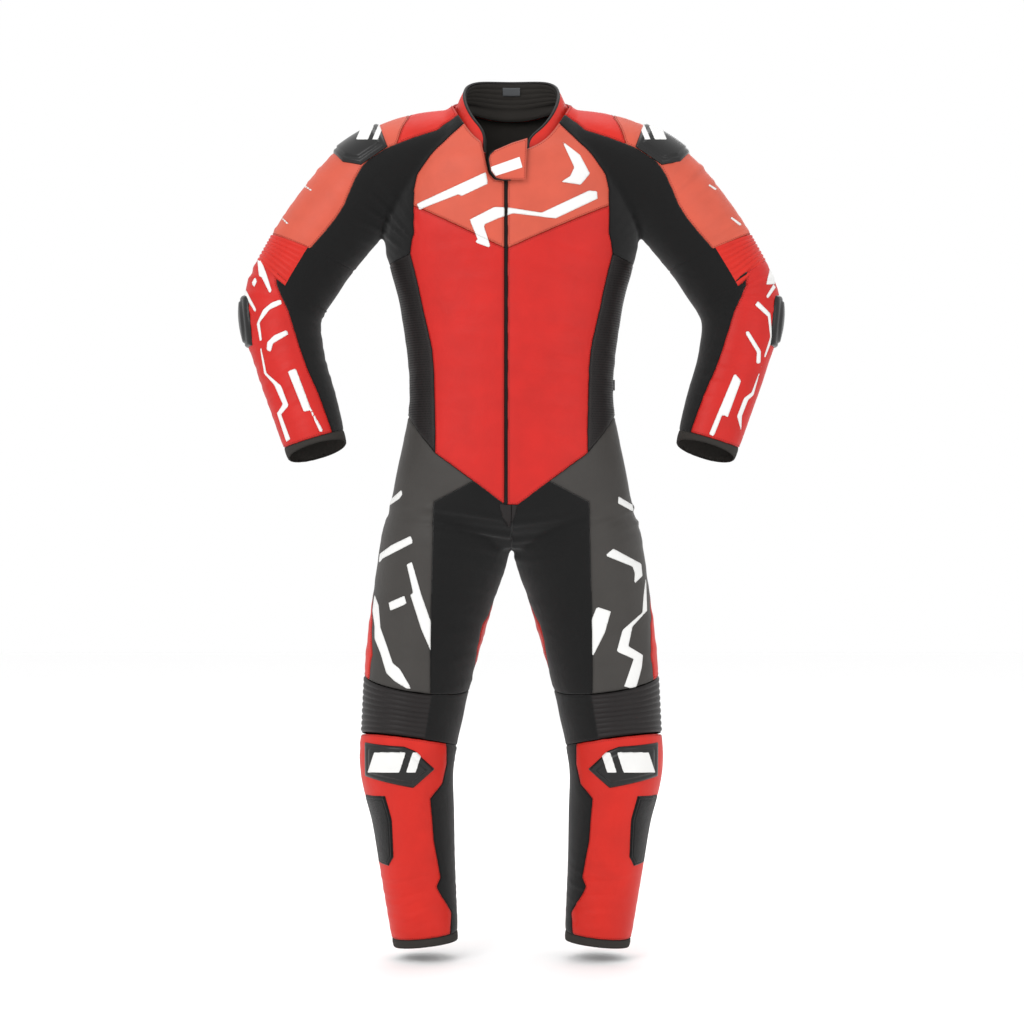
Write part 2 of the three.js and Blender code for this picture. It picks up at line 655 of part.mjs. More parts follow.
// ---------------------------------------------------------------- zips and neck flap
function makeFrontZip() {
  const tapeBack = FRONT_Y + WALL + 3;
  const tape = block(
    new THREE.Vector3(ZIP_X - TAPE_WIDTH / 2, tapeBack - TAPE_THICKNESS, zipBottom + 12),
    new THREE.Vector3(ZIP_X + TAPE_WIDTH / 2, tapeBack, zipTop),
  );
  const chain = block(
    new THREE.Vector3(ZIP_X - CHAIN_WIDTH / 2, FRONT_Y + 0.5, zipBottom + 6),
    new THREE.Vector3(ZIP_X + CHAIN_WIDTH / 2, tapeBack - TAPE_THICKNESS / 2, zipTop),
  );
  return tape.intersect(figure(-WALL - CLEARANCE)).add(chain);
}

const sliderZ = zipTop - SLIDER.height / 2 - 2;

function makeFrontSlider() {
  const { width, height, thickness } = SLIDER;
  const back = FRONT_Y - 1.5;
  return block(
    new THREE.Vector3(ZIP_X - width / 2, back - thickness, sliderZ - height / 2),
    new THREE.Vector3(ZIP_X + width / 2, back, sliderZ + height / 2),
  );
}

const pullTopZ = sliderZ - SLIDER.height / 2 - CLEARANCE;

function makePull() {
  const middle = FRONT_Y - 1.5 - SLIDER.thickness / 2;
  return block(
    new THREE.Vector3(ZIP_X - PULL.width / 2, middle - PULL.thickness / 2, pullTopZ - PULL.height),
    new THREE.Vector3(ZIP_X + PULL.width / 2, middle + PULL.thickness / 2, pullTopZ),
  );
}

function makeFlap() {
  const outline = [
    [36, 72], [10, 63], [-20, 49], [-27, 42], [-29, 34], [-26, 14], [-17, 2], [-6, -1], [33, -1],
  ].map(([x, z]) => [ZIP_X + x, throatZ + z]);
  const cloth = layer(FLAP_STANDOFF, FLAP_STANDOFF + FLAP_THICKNESS);
  return cloth.intersect(prism(outline, FRONT_Y - 60, -20));
}

// A small zip's slider starts at the hem and travels up a straight line on the limb's back seam.
const SMALL_ZIPS = {
  cuff_zip_slider: { limb: arm, across: -0.5, from: 0.94, to: 0.76 },
  calf_zip_slider: { limb: leg, across: -0.25, from: 0.95, to: 0.84 },
};
const ZIP_STANDOFF = 5;

function smallZipFrame({ limb, across, from, to }, side) {
  const deep = Math.sqrt(1 - across * across);
  const start = spot(limb, side, from, across, deep, ZIP_STANDOFF);
  const end = spot(limb, side, to, across, deep, ZIP_STANDOFF);
  const centre = spot(limb, side, from, 0, 0);
  const up = new THREE.Vector3().subVectors(end, start);
  const travel = up.length();
  up.normalize();
  const out = new THREE.Vector3().subVectors(start, centre);
  out.addScaledVector(up, -out.dot(up)).normalize();
  return { start, up, out, travel };
}

function makeSmallSlider(zip, side) {
  const { width, height, thickness } = SMALL_SLIDER;
  const { start, up, out } = smallZipFrame(zip, side);
  const shape = new THREE.BoxGeometry(width, thickness, height);
  const wide = new THREE.Vector3().crossVectors(out, up);
  shape.applyMatrix4(new THREE.Matrix4().makeBasis(wide, out, up));
  shape.translate(start.x, start.y, start.z);
  return solidOf(shape);
}

function makeClosures() {
  const pieces = {
    front_zip: makeFrontZip(),
    front_zip_slider: makeFrontSlider(),
    front_zip_pull: makePull(),
    neck_flap: makeFlap(),
  };
  for (const [name, zip] of Object.entries(SMALL_ZIPS)) {
    for (const side of [RIGHT, LEFT]) pieces[`${name}_${sideName(side)}`] = makeSmallSlider(zip, side);
  }
  return pieces;
}

// ---------------------------------------------------------------- finishes and assembly
const FINISHES = {
  redLeather: { color: 0xde4230, roughness: 0.5, metalness: 0 },
  coralLeather: { color: 0xe06e58, roughness: 0.5, metalness: 0 },
  crimsonLeather: { color: 0xdb4643, roughness: 0.5, metalness: 0 },
  greyLeather: { color: 0x484745, roughness: 0.6, metalness: 0 },
  perforated: { color: 0x302f2d, roughness: 0.6, metalness: 0 },
  stretch: { color: 0x292728, roughness: 0.95, metalness: 0 },
  accordion: { color: 0x363533, roughness: 0.7, metalness: 0 },
  lining: { color: 0x383735, roughness: 0.95, metalness: 0 },
  hardCup: { color: 0x222222, roughness: 0.4, metalness: 0 },
  loop: { color: 0x1c1c1c, roughness: 1, metalness: 0 },
  foam: { color: 0x8a8f94, roughness: 0.9, metalness: 0 },
  metal: { color: 0x6b6d70, roughness: 0.35, metalness: 1 },
};

const FINISH_OF = {
  chest_panel: "coralLeather",
  upper_sleeve: "coralLeather",
  neck_flap: "coralLeather",
  front_panel: "crimsonLeather",
  forearm_panel: "crimsonLeather",
  thigh_panel: "greyLeather",
  side_panel: "perforated",
  underarm_stretch: "stretch",
  crotch_stretch: "stretch",
  forearm_stretch: "stretch",
  calf_stretch: "stretch",
  elbow_stretch: "accordion",
  knee_stretch: "accordion",
  lumbar_stretch: "accordion",
  sleeve_cuff: "lining",
  leg_cuff: "lining",
  collar_lining: "lining",
  shoulder_cup: "hardCup",
  elbow_cup: "hardCup",
  knee_cup: "hardCup",
  slider_patch: "loop",
  shoulder_armour: "foam",
  elbow_armour: "foam",
  knee_armour: "foam",
  back_protector: "foam",
  front_zip: "lining",
  front_zip_slider: "metal",
  front_zip_pull: "metal",
  cuff_zip_slider: "metal",
  calf_zip_slider: "metal",
};

function finishOf(name) {
  const plain = name.replace(/_(right|left)$/, "");
  return new THREE.MeshStandardMaterial(FINISHES[FINISH_OF[plain] ?? "redLeather"]);
}

const solids = {
  ...makePanels(),
  ...makeCollars(),
  ...makeCups(),
  ...makeArmour(),
  ...makeClosures(),
  aero_hump: makeHump(),
  slider_patch_right: makePatch(RIGHT),
  slider_patch_left: makePatch(LEFT),
};

const nape = new THREE.Vector3(0, COLLAR.base.y + COLLAR.base.deep, upTorso(1));
const suit = new THREE.Group();
const hem = new THREE.Group();
hem.position.copy(nape).negate();
suit.add(hem);
for (const [name, solid] of Object.entries(solids)) {
  const mesh = new THREE.Mesh(geometryOf(solid), finishOf(name));
  mesh.name = name;
  hem.add(mesh);
}

// Where each joint and each outside face lies, in the finished part's frame.
const placed = (point) => point.clone().sub(nape).toArray();
function pivot(limb, side, ring) {
  const along = (ring.top + ring.bottom) / 2;
  return placed(spot(limb, side, along, 0, 0));
}

function elbowAxis(side) {
  const [high, bend, low] = [0.3, 0.55, 0.9].map((along) => spot(arm, side, along, 0, 0));
  const upper = new THREE.Vector3().subVectors(bend, high).normalize();
  const lower = new THREE.Vector3().subVectors(low, bend).normalize();
  return new THREE.Vector3().crossVectors(upper, lower).normalize().toArray();
}

suit.userData.joints = {
  front_zip_slide: { travel: sliderZ - zipBottom - SLIDER.height - PULL.height - 6, axis: [0, 0, -1] },
  pull: { pos: placed(new THREE.Vector3(ZIP_X, FRONT_Y - 1.5 - SLIDER.thickness / 2, pullTopZ)) },
  flap: { pos: placed(new THREE.Vector3(ZIP_X + 33, FRONT_Y - FLAP_STANDOFF - FLAP_THICKNESS, throatZ)) },
};
for (const side of [RIGHT, LEFT]) {
  const patch = patchFrame(side);
  suit.userData.joints[sideName(side)] = {
    elbow: { pos: pivot(arm, side, ELBOW_RING), axis: elbowAxis(side) },
    knee: { pos: pivot(leg, side, KNEE_RING) },
    cuffZip: smallZipFrame(SMALL_ZIPS.cuff_zip_slider, side),
    calfZip: smallZipFrame(SMALL_ZIPS.calf_zip_slider, side),
    patch: { pos: placed(patch.centre), out: patch.out.toArray() },
  };
}

export default suit;
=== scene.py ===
"""One-piece leather racing suit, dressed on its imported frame.

The leather shell is lofted from the wearer's sizes, joined, and cut along the frame's seams into panels
with a thickness, rolled edges and folds. Bands, cups, collar, zips and trims are made on the same shape.
"""

from __future__ import annotations

import logging
from dataclasses import dataclass, field
from enum import Enum
from math import pi

import bpy
import numpy as np
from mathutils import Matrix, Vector
from mathutils.bvhtree import BVHTree
from mathutils.kdtree import KDTree

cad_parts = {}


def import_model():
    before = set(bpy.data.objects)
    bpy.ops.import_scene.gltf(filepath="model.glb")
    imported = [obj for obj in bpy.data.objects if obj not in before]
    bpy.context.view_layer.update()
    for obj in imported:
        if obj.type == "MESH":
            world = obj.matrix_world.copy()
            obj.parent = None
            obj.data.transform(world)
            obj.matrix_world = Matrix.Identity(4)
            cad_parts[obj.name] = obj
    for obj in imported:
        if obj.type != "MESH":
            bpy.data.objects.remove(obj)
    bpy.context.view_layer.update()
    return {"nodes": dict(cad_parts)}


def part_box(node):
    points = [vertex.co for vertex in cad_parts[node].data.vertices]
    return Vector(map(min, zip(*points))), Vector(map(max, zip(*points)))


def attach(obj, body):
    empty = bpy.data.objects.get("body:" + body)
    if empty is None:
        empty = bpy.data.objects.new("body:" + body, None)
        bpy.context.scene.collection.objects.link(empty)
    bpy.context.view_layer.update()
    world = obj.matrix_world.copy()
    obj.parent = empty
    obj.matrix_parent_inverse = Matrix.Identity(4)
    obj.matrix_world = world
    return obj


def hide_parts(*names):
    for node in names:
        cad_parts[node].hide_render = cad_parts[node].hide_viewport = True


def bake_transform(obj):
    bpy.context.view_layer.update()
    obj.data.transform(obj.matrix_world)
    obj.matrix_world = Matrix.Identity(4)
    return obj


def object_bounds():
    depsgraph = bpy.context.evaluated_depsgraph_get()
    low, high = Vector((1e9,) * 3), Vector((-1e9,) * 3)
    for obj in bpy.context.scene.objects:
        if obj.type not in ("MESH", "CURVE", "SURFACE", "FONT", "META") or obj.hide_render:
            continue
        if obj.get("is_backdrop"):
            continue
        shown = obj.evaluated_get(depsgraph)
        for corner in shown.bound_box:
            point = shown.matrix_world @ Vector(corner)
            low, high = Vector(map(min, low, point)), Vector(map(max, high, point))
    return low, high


LOG = logging.getLogger("racing_suit")
MM = 0.001
NAPE = np.array([0.0, -76.0, -1446.0])
NECK_Z = 1446.0
TORSO_LENGTH = 760.0
FRONT_Y = -122.0
ZIP_X = -9.0
THROAT_Z = 1301.6


class Side(Enum):
    """The wearer's sides, as the sign of X."""

    RIGHT = -1
    LEFT = 1

    @property
    def label(self) -> str:
        """The side's name as it ends a piece's name."""
        return self.name.lower()


class Zone(Enum):
    """The part of the suit a piece belongs to."""

    TRUNK = "trunk"
    ARM_RIGHT = "arm_right"
    ARM_LEFT = "arm_left"
    LEG_RIGHT = "leg_right"
    LEG_LEFT = "leg_left"


# ------------------------------------------------------------------ finishes
SHADE = 0.8  # the studio light makes a surface brighter by the inverse of this
GLOSS_LIFT = 0.032  # and gloss adds this much white


def linear(red: int, green: int, blue: int) -> tuple[float, float, float, float]:
    """A display colour of 0 to 255 as the shader's own linear colour."""
    made = [((c / 255 + 0.055) / 1.055) ** 2.4 for c in (red, green, blue)]
    return (*(max(c * SHADE - GLOSS_LIFT, 0.004) for c in made), 1.0)


class Nodes:
    """A short way to add nodes to a material or geometry tree.

    Args:
        tree: The node tree to add to.
    """

    def __init__(self, tree: bpy.types.NodeTree) -> None:
        """Keeps the tree."""
        self.tree = tree

    def add(self, kind: str, sockets: dict | None = None, **settings: object) -> bpy.types.Node:
        """Adds a node.

        Args:
            kind: Blender's name for the node type.
            sockets: Input name or number to a value or to the output that feeds it.
            settings: The node's own settings.

        Returns:
            The new node.
        """
        node = self.tree.nodes.new(kind)
        for key, value in settings.items():
            setattr(node, key, value)
        for key, value in (sockets or {}).items():
            if isinstance(value, bpy.types.NodeSocket):
                self.tree.links.new(value, node.inputs[key])
            else:
                node.inputs[key].default_value = value
        return node


@dataclass(frozen=True)
class Finish:
    """A procedural finish: base colour, grain, mottling and wear along sewn edges."""

    name: str
    colour: tuple[int, int, int]
    roughness: float = 0.5
    grain: float = 900.0
    grain_depth: float = 0.00012
    ripple_depth: float = 0.0022
    mottle: float = 0.08
    edge_dark: float = 0.35
    sheen: float = 0.0
    metallic: float = 0.0
    weave: float = 0.0
    coat: float = 0.0
    specular: float = 0.3

    def build(self) -> bpy.types.Material:
        """Makes the material, once for each name."""
        known = bpy.data.materials.get(f"{self.name}_finish")
        if known:
            return known
        material = bpy.data.materials.new(f"{self.name}_finish")
        material.use_nodes = True
        nodes = Nodes(material.node_tree)
        shader = material.node_tree.nodes["Principled BSDF"]
        place = nodes.add("ShaderNodeTexCoord").outputs["Object"]
        mottle = nodes.add("ShaderNodeTexNoise", {"Vector": place, "Scale": 22.0, "Detail": 4.0})
        tone = nodes.add("ShaderNodeMapRange", {"Value": mottle.outputs[0], "From Min": 0.3, "From Max": 0.7,
                                                "To Min": 1 - self.mottle, "To Max": 1 + self.mottle / 2})
        seam = nodes.add("ShaderNodeAttribute", attribute_name="seam")
        edge = nodes.add("ShaderNodeMapRange", {"Value": seam.outputs["Fac"], "From Min": 0.0, "From Max": 0.0035,
                                                "To Min": 1 - self.edge_dark, "To Max": 1.0})
        shade = nodes.add("ShaderNodeMath", {0: tone.outputs[0], 1: edge.outputs[0]}, operation="MULTIPLY")
        colour = nodes.add("ShaderNodeVectorMath", {0: linear(*self.colour)[:3], 3: shade.outputs[0]},
                           operation="SCALE")
        material.node_tree.links.new(colour.outputs[0], shader.inputs["Base Color"])
        if self.weave:
            warp = nodes.add("ShaderNodeTexWave", {"Vector": place, "Scale": self.weave, "Distortion": 0.4},
                             bands_direction="Z")
            weft = nodes.add("ShaderNodeTexWave", {"Vector": place, "Scale": self.weave, "Distortion": 0.4},
                             bands_direction="X")
            fine = nodes.add("ShaderNodeMath", {0: warp.outputs["Fac"], 1: weft.outputs["Fac"]},
                             operation="MULTIPLY").outputs[0]
        else:
            fine = nodes.add("ShaderNodeTexVoronoi", {"Vector": place, "Scale": self.grain},
                             feature="SMOOTH_F1").outputs["Distance"]
        rough = nodes.add("ShaderNodeMapRange", {"Value": fine, "To Min": self.roughness - 0.06,
                                                 "To Max": self.roughness + 0.08})
        material.node_tree.links.new(rough.outputs[0], shader.inputs["Roughness"])
        ripple = nodes.add("ShaderNodeTexNoise", {"Vector": place, "Scale": 26.0, "Detail": 4.0,
                                                  "Distortion": 0.6})
        wide = nodes.add("ShaderNodeBump", {"Height": ripple.outputs[0], "Distance": self.ripple_depth,
                                            "Strength": 0.6})
        close = nodes.add("ShaderNodeBump", {"Height": fine, "Distance": self.grain_depth, "Strength": 0.7,
                                             "Normal": wide.outputs[0]})
        material.node_tree.links.new(close.outputs[0], shader.inputs["Normal"])
        shader.inputs["Metallic"].default_value = self.metallic
        shader.inputs["Sheen Weight"].default_value = self.sheen
        shader.inputs["Coat Weight"].default_value = self.coat
        shader.inputs["Specular IOR Level"].default_value = self.specular
        return material


RED = Finish("red_leather", (219, 66, 50))
CORAL = Finish("coral_leather", (220, 106, 88))
CRIMSON = Finish("crimson_leather", (212, 64, 61))
GREY = Finish("grey_leather", (84, 82, 80), roughness=0.55)
WHITE = Finish("white_leather", (250, 250, 248), roughness=0.45, mottle=0.03, edge_dark=0.12)
PERFORATED = Finish("perforated_leather", (62, 60, 58), roughness=0.5)
STRETCH = Finish("stretch_fabric", (56, 53, 54), roughness=0.9, weave=500.0, grain_depth=0.0002, sheen=0.15,
                 specular=0.2, edge_dark=0.1)
BLACK = Finish("black_leather", (62, 60, 58), roughness=0.5)
LINING = Finish("dark_lining", (80, 78, 76), roughness=0.9, weave=350.0, grain_depth=0.0003, specular=0.2)
CUP = Finish("cup_plastic", (54, 54, 55), roughness=0.38, grain=1600.0, grain_depth=0.00004, ripple_depth=0.0,
             coat=0.15)
LOOP = Finish("loop_fabric", (60, 59, 58), roughness=1.0, grain=1400.0, grain_depth=0.0006, sheen=0.3,
              specular=0.1)
FOAM = Finish("armour_foam", (130, 135, 140), roughness=0.9, grain=500.0, grain_depth=0.0003)
METAL = Finish("zip_metal", (96, 98, 102), roughness=0.35, metallic=1.0, grain=1200.0, grain_depth=0.00003,
               ripple_depth=0.0)
THREAD_RED = Finish("red_thread", (190, 44, 36), roughness=0.7, weave=2500.0, grain_depth=0.00005)
THREAD_DARK = Finish("dark_thread", (100, 98, 96), roughness=0.7, weave=2500.0, grain_depth=0.00005)
# Painted shade: near-black discs that stand in for the shaded inside of the punched holes.
HOLE_SHADE = Finish("punched_hole_shade", (20, 20, 20), roughness=0.9)
LABEL = Finish("woven_label", (110, 112, 114), roughness=0.8, weave=900.0)


# ------------------------------------------------------------------ the wearer's shape
@dataclass(frozen=True)
class Limb:
    """A limb's run: stations of along, x, y, z, half width and half depth, in millimetres above the hem."""

    stations: tuple[tuple[float, ...], ...]
    squareness: float = 2.0
    upright: bool = False

    def at(self, along: np.ndarray) -> np.ndarray:
        """The smooth x, y, z, half width and half depth at places along the limb."""
        table = np.array(self.stations)
        keys, values = table[:, 0], table[:, 1:]
        last = len(keys) - 1
        along = np.atleast_1d(np.asarray(along, float))
        i = np.clip(np.searchsorted(keys, along) - 1, 0, last - 1)
        before, after = np.maximum(i - 1, 0), np.minimum(i + 2, last)
        span = (keys[i + 1] - keys[i])[:, None]
        t = (along - keys[i])[:, None] / span
        rise = values[i + 1] - values[i]
        leave = (values[i + 1] - values[before]) / (keys[i + 1] - keys[before])[:, None]
        arrive = (values[after] - values[i]) / (keys[after] - keys[i])[:, None]
        leave = np.where((i == 0)[:, None], rise / span, leave)
        arrive = np.where((i == last - 1)[:, None], rise / span, arrive)
        curve = values[i] + (3 * t**2 - 2 * t**3) * rise
        curve += (t**3 - 2 * t**2 + t) * span * leave + (t**3 - t**2) * span * arrive
        return np.where(t < 0, values[i] + t * span * leave, curve)

    def outward(self, along: np.ndarray) -> np.ndarray:
        """The unit direction across the limb, away from the wearer's middle, as x and z."""
        along = np.atleast_1d(along)
        if self.upright:
            return np.tile([1.0, 0.0], (len(along), 1))
        a, b = self.at(np.maximum(along - 0.004, 0)), self.at(np.minimum(along + 0.004, 1))
        run = np.stack([-(b[:, 2] - a[:, 2]), b[:, 0] - a[:, 0]], 1)
        return run / np.linalg.norm(run, axis=1, keepdims=True)

    def spot(self, side: Side, along: np.ndarray, across: np.ndarray, deep: np.ndarray,
             outset: np.ndarray | float = 0.0) -> np.ndarray:
        """Points in metres in the frame, given along, across and front (-1) to back (+1) of the limb."""
        along, across, deep = (np.atleast_1d(np.asarray(v, float)) for v in (along, across, deep))
        at, out = self.at(along), self.outward(along)
        reach = (at[:, 3] + outset) * across
        x = side.value * (at[:, 0] + out[:, 0] * reach)
        y = at[:, 1] + (at[:, 4] + outset) * deep
        z = at[:, 2] + out[:, 1] * reach
        return (np.stack([x, y, z], 1) + NAPE) * MM

    def skin(self, side: Side, along: np.ndarray, turn: np.ndarray,
             outset: np.ndarray | float = 0.0) -> np.ndarray:
        """Points on the limb's outside, turned from outward (0) over the back to the front."""
        across, deep = self.rounded(np.cos(turn)), self.rounded(np.sin(turn))
        return self.spot(side, along, across, deep, outset)

    def rounded(self, value: np.ndarray) -> np.ndarray:
        """A sine or cosine pushed out to the limb's squareness."""
        return np.sign(value) * np.abs(value) ** (2 / self.squareness)


def torso_station(along: float, width: float, depth: float, back: float = 0.0) -> tuple[float, ...]:
    """A torso station whose front stays in the front plane."""
    return (along, 0.0, FRONT_Y + depth / 2 + back, 686 + along * TORSO_LENGTH, width / 2, depth / 2)


TORSO = Limb((
    torso_station(0, 282.8, 121, 60), torso_station(0.06, 410, 208.1, 12), torso_station(0.13, 404, 242),
    torso_station(0.335, 348, 212), torso_station(0.54, 379.8, 239.4), torso_station(0.69, 434, 252),
    torso_station(0.78, 412.3, 239.4), torso_station(0.86, 355.9, 214.2, 1),
    torso_station(0.92, 299.5, 189, 22),
    torso_station(1, 204, 163.8, 40),
), squareness=2.3, upright=True)


def arm_stations() -> tuple[tuple[float, ...], ...]:
    """The arm from inside the shoulder to the cuff."""
    x, z, out, drop, low, inward = 164.9, 1351.8, 228.0, 254.0, 247.0, 64.0
    ex, ez, cy = x + out, z - drop, -56.0
    return (
        (0, x - 105, 6, z + 10, 81, 84), (0.12, x, 6, z, 78, 86),
        (0.24, x + 0.342 * out, 6, z - 0.154 * drop, 79, 84),
        (0.38, x + 0.592 * out, 8, z - 0.394 * drop, 78, 78),
        (0.5, x + 0.82 * out, 10, z - 0.677 * drop, 75, 72), (0.62, ex, 6, ez, 70, 66),
        (0.75, ex - 0.2 * inward, cy + 42, ez - 0.348 * low, 60, 60),
        (0.88, ex - 0.636 * inward, cy + 20, ez - 0.696 * low, 56.5, 55),
        (1, ex - inward, cy, ez - low, 52, 50),
    )


def leg_stations() -> tuple[tuple[float, ...], ...]:
    """The leg from inside the hip to the hem."""
    x, out, inseam = 100.0, 79.0, 686.0
    rows = ((0, 0, 8, 1.108, 94.6, 96), (0.09, 0.14, 8, 1.025, 110, 116), (0.2, 0.39, 4, 0.905, 104, 108),
            (0.36, 0.7, -4, 0.729, 94.5, 98), (0.52, 0.92, -10, 0.551, 84, 90), (0.6, 1, -10, 0.455, 80, 84),
            (0.7, 0.88, 4, 0.334, 71, 76), (0.82, 0.78, 10, 0.204, 64.5, 68), (1, 0.6, 6, 0.009, 56, 58))
    return tuple((along, x + share * out, y, inseam * up, half, deep)
                 for along, share, y, up, half, deep in rows)


ARM = Limb(arm_stations())
LEG = Limb(leg_stations())


# ------------------------------------------------------------------ plain mesh work
@dataclass
class Patch:
    """An open triangle mesh with named values at its points."""

    points: np.ndarray
    triangles: np.ndarray
    values: dict[str, np.ndarray] = field(default_factory=dict)

    def normals(self) -> np.ndarray:
        """Smooth unit normals at the points."""
        a, b, c = (self.points[self.triangles[:, k]] for k in range(3))
        flat = np.cross(b - a, c - a)
        out = np.zeros_like(self.points)
        for k in range(3):
            for axis in range(3):
                out[:, axis] += np.bincount(self.triangles[:, k], flat[:, axis], len(out))
        return out / np.maximum(np.linalg.norm(out, axis=1, keepdims=True), 1e-12)

    def keep(self, chosen: np.ndarray) -> Patch:
        """The part made of the chosen triangles."""
        triangles = self.triangles[chosen]
        used, back = np.unique(triangles, return_inverse=True)
        return Patch(self.points[used], back.reshape(-1, 3), {k: v[used] for k, v in self.values.items()})

    def rim(self) -> np.ndarray:
        """The open edges, as pairs of points in the triangles' own order."""
        edges = np.concatenate([self.triangles[:, [0, 1]], self.triangles[:, [1, 2]],
                                self.triangles[:, [2, 0]]])
        key = np.sort(edges, 1) @ np.array([len(self.points), 1])
        _, first, count = np.unique(key, return_index=True, return_counts=True)
        return edges[first[count == 1]]

    def slice(self, field_name: str, level: float) -> tuple[Patch, np.ndarray]:
        """Splits the triangles along the line where a value is at a level.

        Args:
            field_name: The value's name.
            level: The level to cut at.

        Returns:
            The refined patch, and the pairs of its points that lie along the line.
        """
        marks = np.where(self.values[field_name] >= level, 1, 0)
        score = np.stack([-(self.values[field_name] - level), self.values[field_name] - level], 1)
        cut, _, line = cut_by_label(self, marks, score)
        return cut, line


def cut_by_label(patch: Patch, labels: np.ndarray, score: np.ndarray) -> tuple[Patch, np.ndarray, np.ndarray]:
    """Cuts a patch along the lines where one label's score passes another's.

    Args:
        patch: The mesh to cut.
        labels: The winning label of each point.
        score: Points by labels.

    Returns:
        The cut mesh, the label of each triangle, and the pairs of points along the cuts.
    """
    tri, count = patch.triangles, len(patch.points)
    tl = labels[tri]
    same = (tl[:, 0] == tl[:, 1]) & (tl[:, 1] == tl[:, 2])
    mixed = tri[~same]
    if not len(mixed):
        return patch, tl[:, 0], np.zeros((0, 2), int)
    edges = np.concatenate([mixed[:, [0, 1]], mixed[:, [1, 2]], mixed[:, [2, 0]]])
    edges = np.sort(edges[labels[edges[:, 0]] != labels[edges[:, 1]]], 1)
    keys = np.unique(edges @ np.array([count, 1]))
    a, b = keys // count, keys % count
    la, lb = labels[a], labels[b]
    ga = score[a, la] - score[a, lb]
    gb = score[b, lb] - score[b, la]
    t = np.clip(ga / np.maximum(ga + gb, 1e-9), 0.04, 0.96)[:, None]
    points = [patch.points, patch.points[a] * (1 - t) + patch.points[b] * t]
    values = {k: [v, v[a] * (1 - t[:, 0]) + v[b] * t[:, 0]] for k, v in patch.values.items()}

    def crossing(p: np.ndarray, q: np.ndarray) -> np.ndarray:
        """The numbers of the new points on the edges from p to q."""
        return count + np.searchsorted(keys, np.sort(np.stack([p, q], 1), 1) @ np.array([count, 1]))

    faces, marks, lines = [tri[same]], [tl[same][:, 0]], []
    ml = labels[mixed]
    for k in range(3):
        i, j, m = k, (k + 1) % 3, (k + 2) % 3
        lone = (ml[:, j] == ml[:, m]) & (ml[:, i] != ml[:, j])
        p, q, r = mixed[lone, i], mixed[lone, j], mixed[lone, m]
        pq, pr = crossing(p, q), crossing(p, r)
        faces += [np.stack([p, pq, pr], 1), np.stack([pq, q, r], 1), np.stack([pq, r, pr], 1)]
        marks += [labels[p], labels[q], labels[q]]
        lines.append(np.stack([pq, pr], 1))
    three = (ml[:, 0] != ml[:, 1]) & (ml[:, 1] != ml[:, 2]) & (ml[:, 0] != ml[:, 2])
    if three.any():
        p, q, r = mixed[three].T
        pq, qr, rp = crossing(p, q), crossing(q, r), crossing(r, p)
        centre = count + len(keys) + np.arange(three.sum())
        middle = [points[1][x - count] for x in (pq, qr, rp)]
        points.append(sum(middle) / 3)
        for k in values:
            values[k].append(sum(values[k][1][x - count] for x in (pq, qr, rp)) / 3)
        for corner, ahead, behind in ((p, pq, rp), (q, qr, pq), (r, rp, qr)):
            faces += [np.stack([corner, ahead, centre], 1), np.stack([corner, centre, behind], 1)]
            marks += [labels[corner], labels[corner]]
        lines += [np.stack([x, centre], 1) for x in (pq, qr, rp)]
    joined = {k: np.concatenate(v) for k, v in values.items()}
    return (Patch(np.concatenate(points), np.concatenate(faces), joined), np.concatenate(marks),
            np.concatenate(lines))


def inside_depth(points: np.ndarray, outline: list[tuple[float, float]]) -> np.ndarray:
    """How far flat points lie inside an outline; outside is negative."""
    corners = np.array(outline, float)
    best, inside = np.full(len(points), np.inf), np.zeros(len(points), bool)
    for a, b in zip(corners, np.roll(corners, -1, 0)):
        run = b - a
        t = np.clip(((points - a) @ run) / (run @ run), 0, 1)
        best = np.minimum(best, np.linalg.norm(points - a - t[:, None] * run, axis=1))
        crosses = (a[1] > points[:, 1]) != (b[1] > points[:, 1])
        inside ^= crosses & (points[:, 0] < (run[0] * (points[:, 1] - a[1]) / (run[1] or 1e-12) + a[0]))
    return np.where(inside, best, -best)


def grid_patch(points: np.ndarray, around: bool = False) -> Patch:
    """A patch over rows and columns of points; around joins the last column to the first."""
    rows, columns = points.shape[:2]
    number = np.arange(rows * columns).reshape(rows, columns)
    if around:
        number = np.concatenate([number, number[:, :1]], 1)
    a, b, c, d = number[:-1, :-1], number[:-1, 1:], number[1:, 1:], number[1:, :-1]
    faces = np.concatenate([np.stack(f, -1).reshape(-1, 3) for f in ((a, b, c), (a, c, d))])
    return Patch(points.reshape(-1, 3), faces)


def mesh_object(name: str, points: np.ndarray, faces: np.ndarray, finishes: list[Finish],
                marks: np.ndarray | None = None, values: dict[str, np.ndarray] | None = None) -> bpy.types.Object:
    """A smooth mesh object at the origin.

    Args:
        name: The piece's name.
        points: Its points in metres.
        faces: Its triangles, or its quads.
        finishes: Its materials in order.
        marks: The material number of each face.
        values: Named values at the points.

    Returns:
        The new object.
    """
    mesh = bpy.data.meshes.new(name)
    size = faces.shape[1]
    mesh.vertices.add(len(points))
    mesh.vertices.foreach_set("co", np.ascontiguousarray(points, np.float32).ravel())
    mesh.loops.add(len(faces) * size)
    mesh.loops.foreach_set("vertex_index", np.ascontiguousarray(faces, np.int32).ravel())
    mesh.polygons.add(len(faces))
    mesh.polygons.foreach_set("loop_start", np.arange(len(faces), dtype=np.int32) * size)
    mesh.update(calc_edges=True)
    for finish in finishes:
        mesh.materials.append(finish.build())
    if marks is not None:
        mesh.polygons.foreach_set("material_index", np.ascontiguousarray(marks, np.int32))
    for key, value in (values or {}).items():
        mesh.attributes.new(key, "FLOAT", "POINT").data.foreach_set("value", value.astype(np.float32))
    mesh.shade_smooth()
    taken = name in bpy.data.objects
    obj = bpy.data.objects.new(name + "_made" if taken else name, mesh)
    bpy.context.scene.collection.objects.link(obj)
    return obj


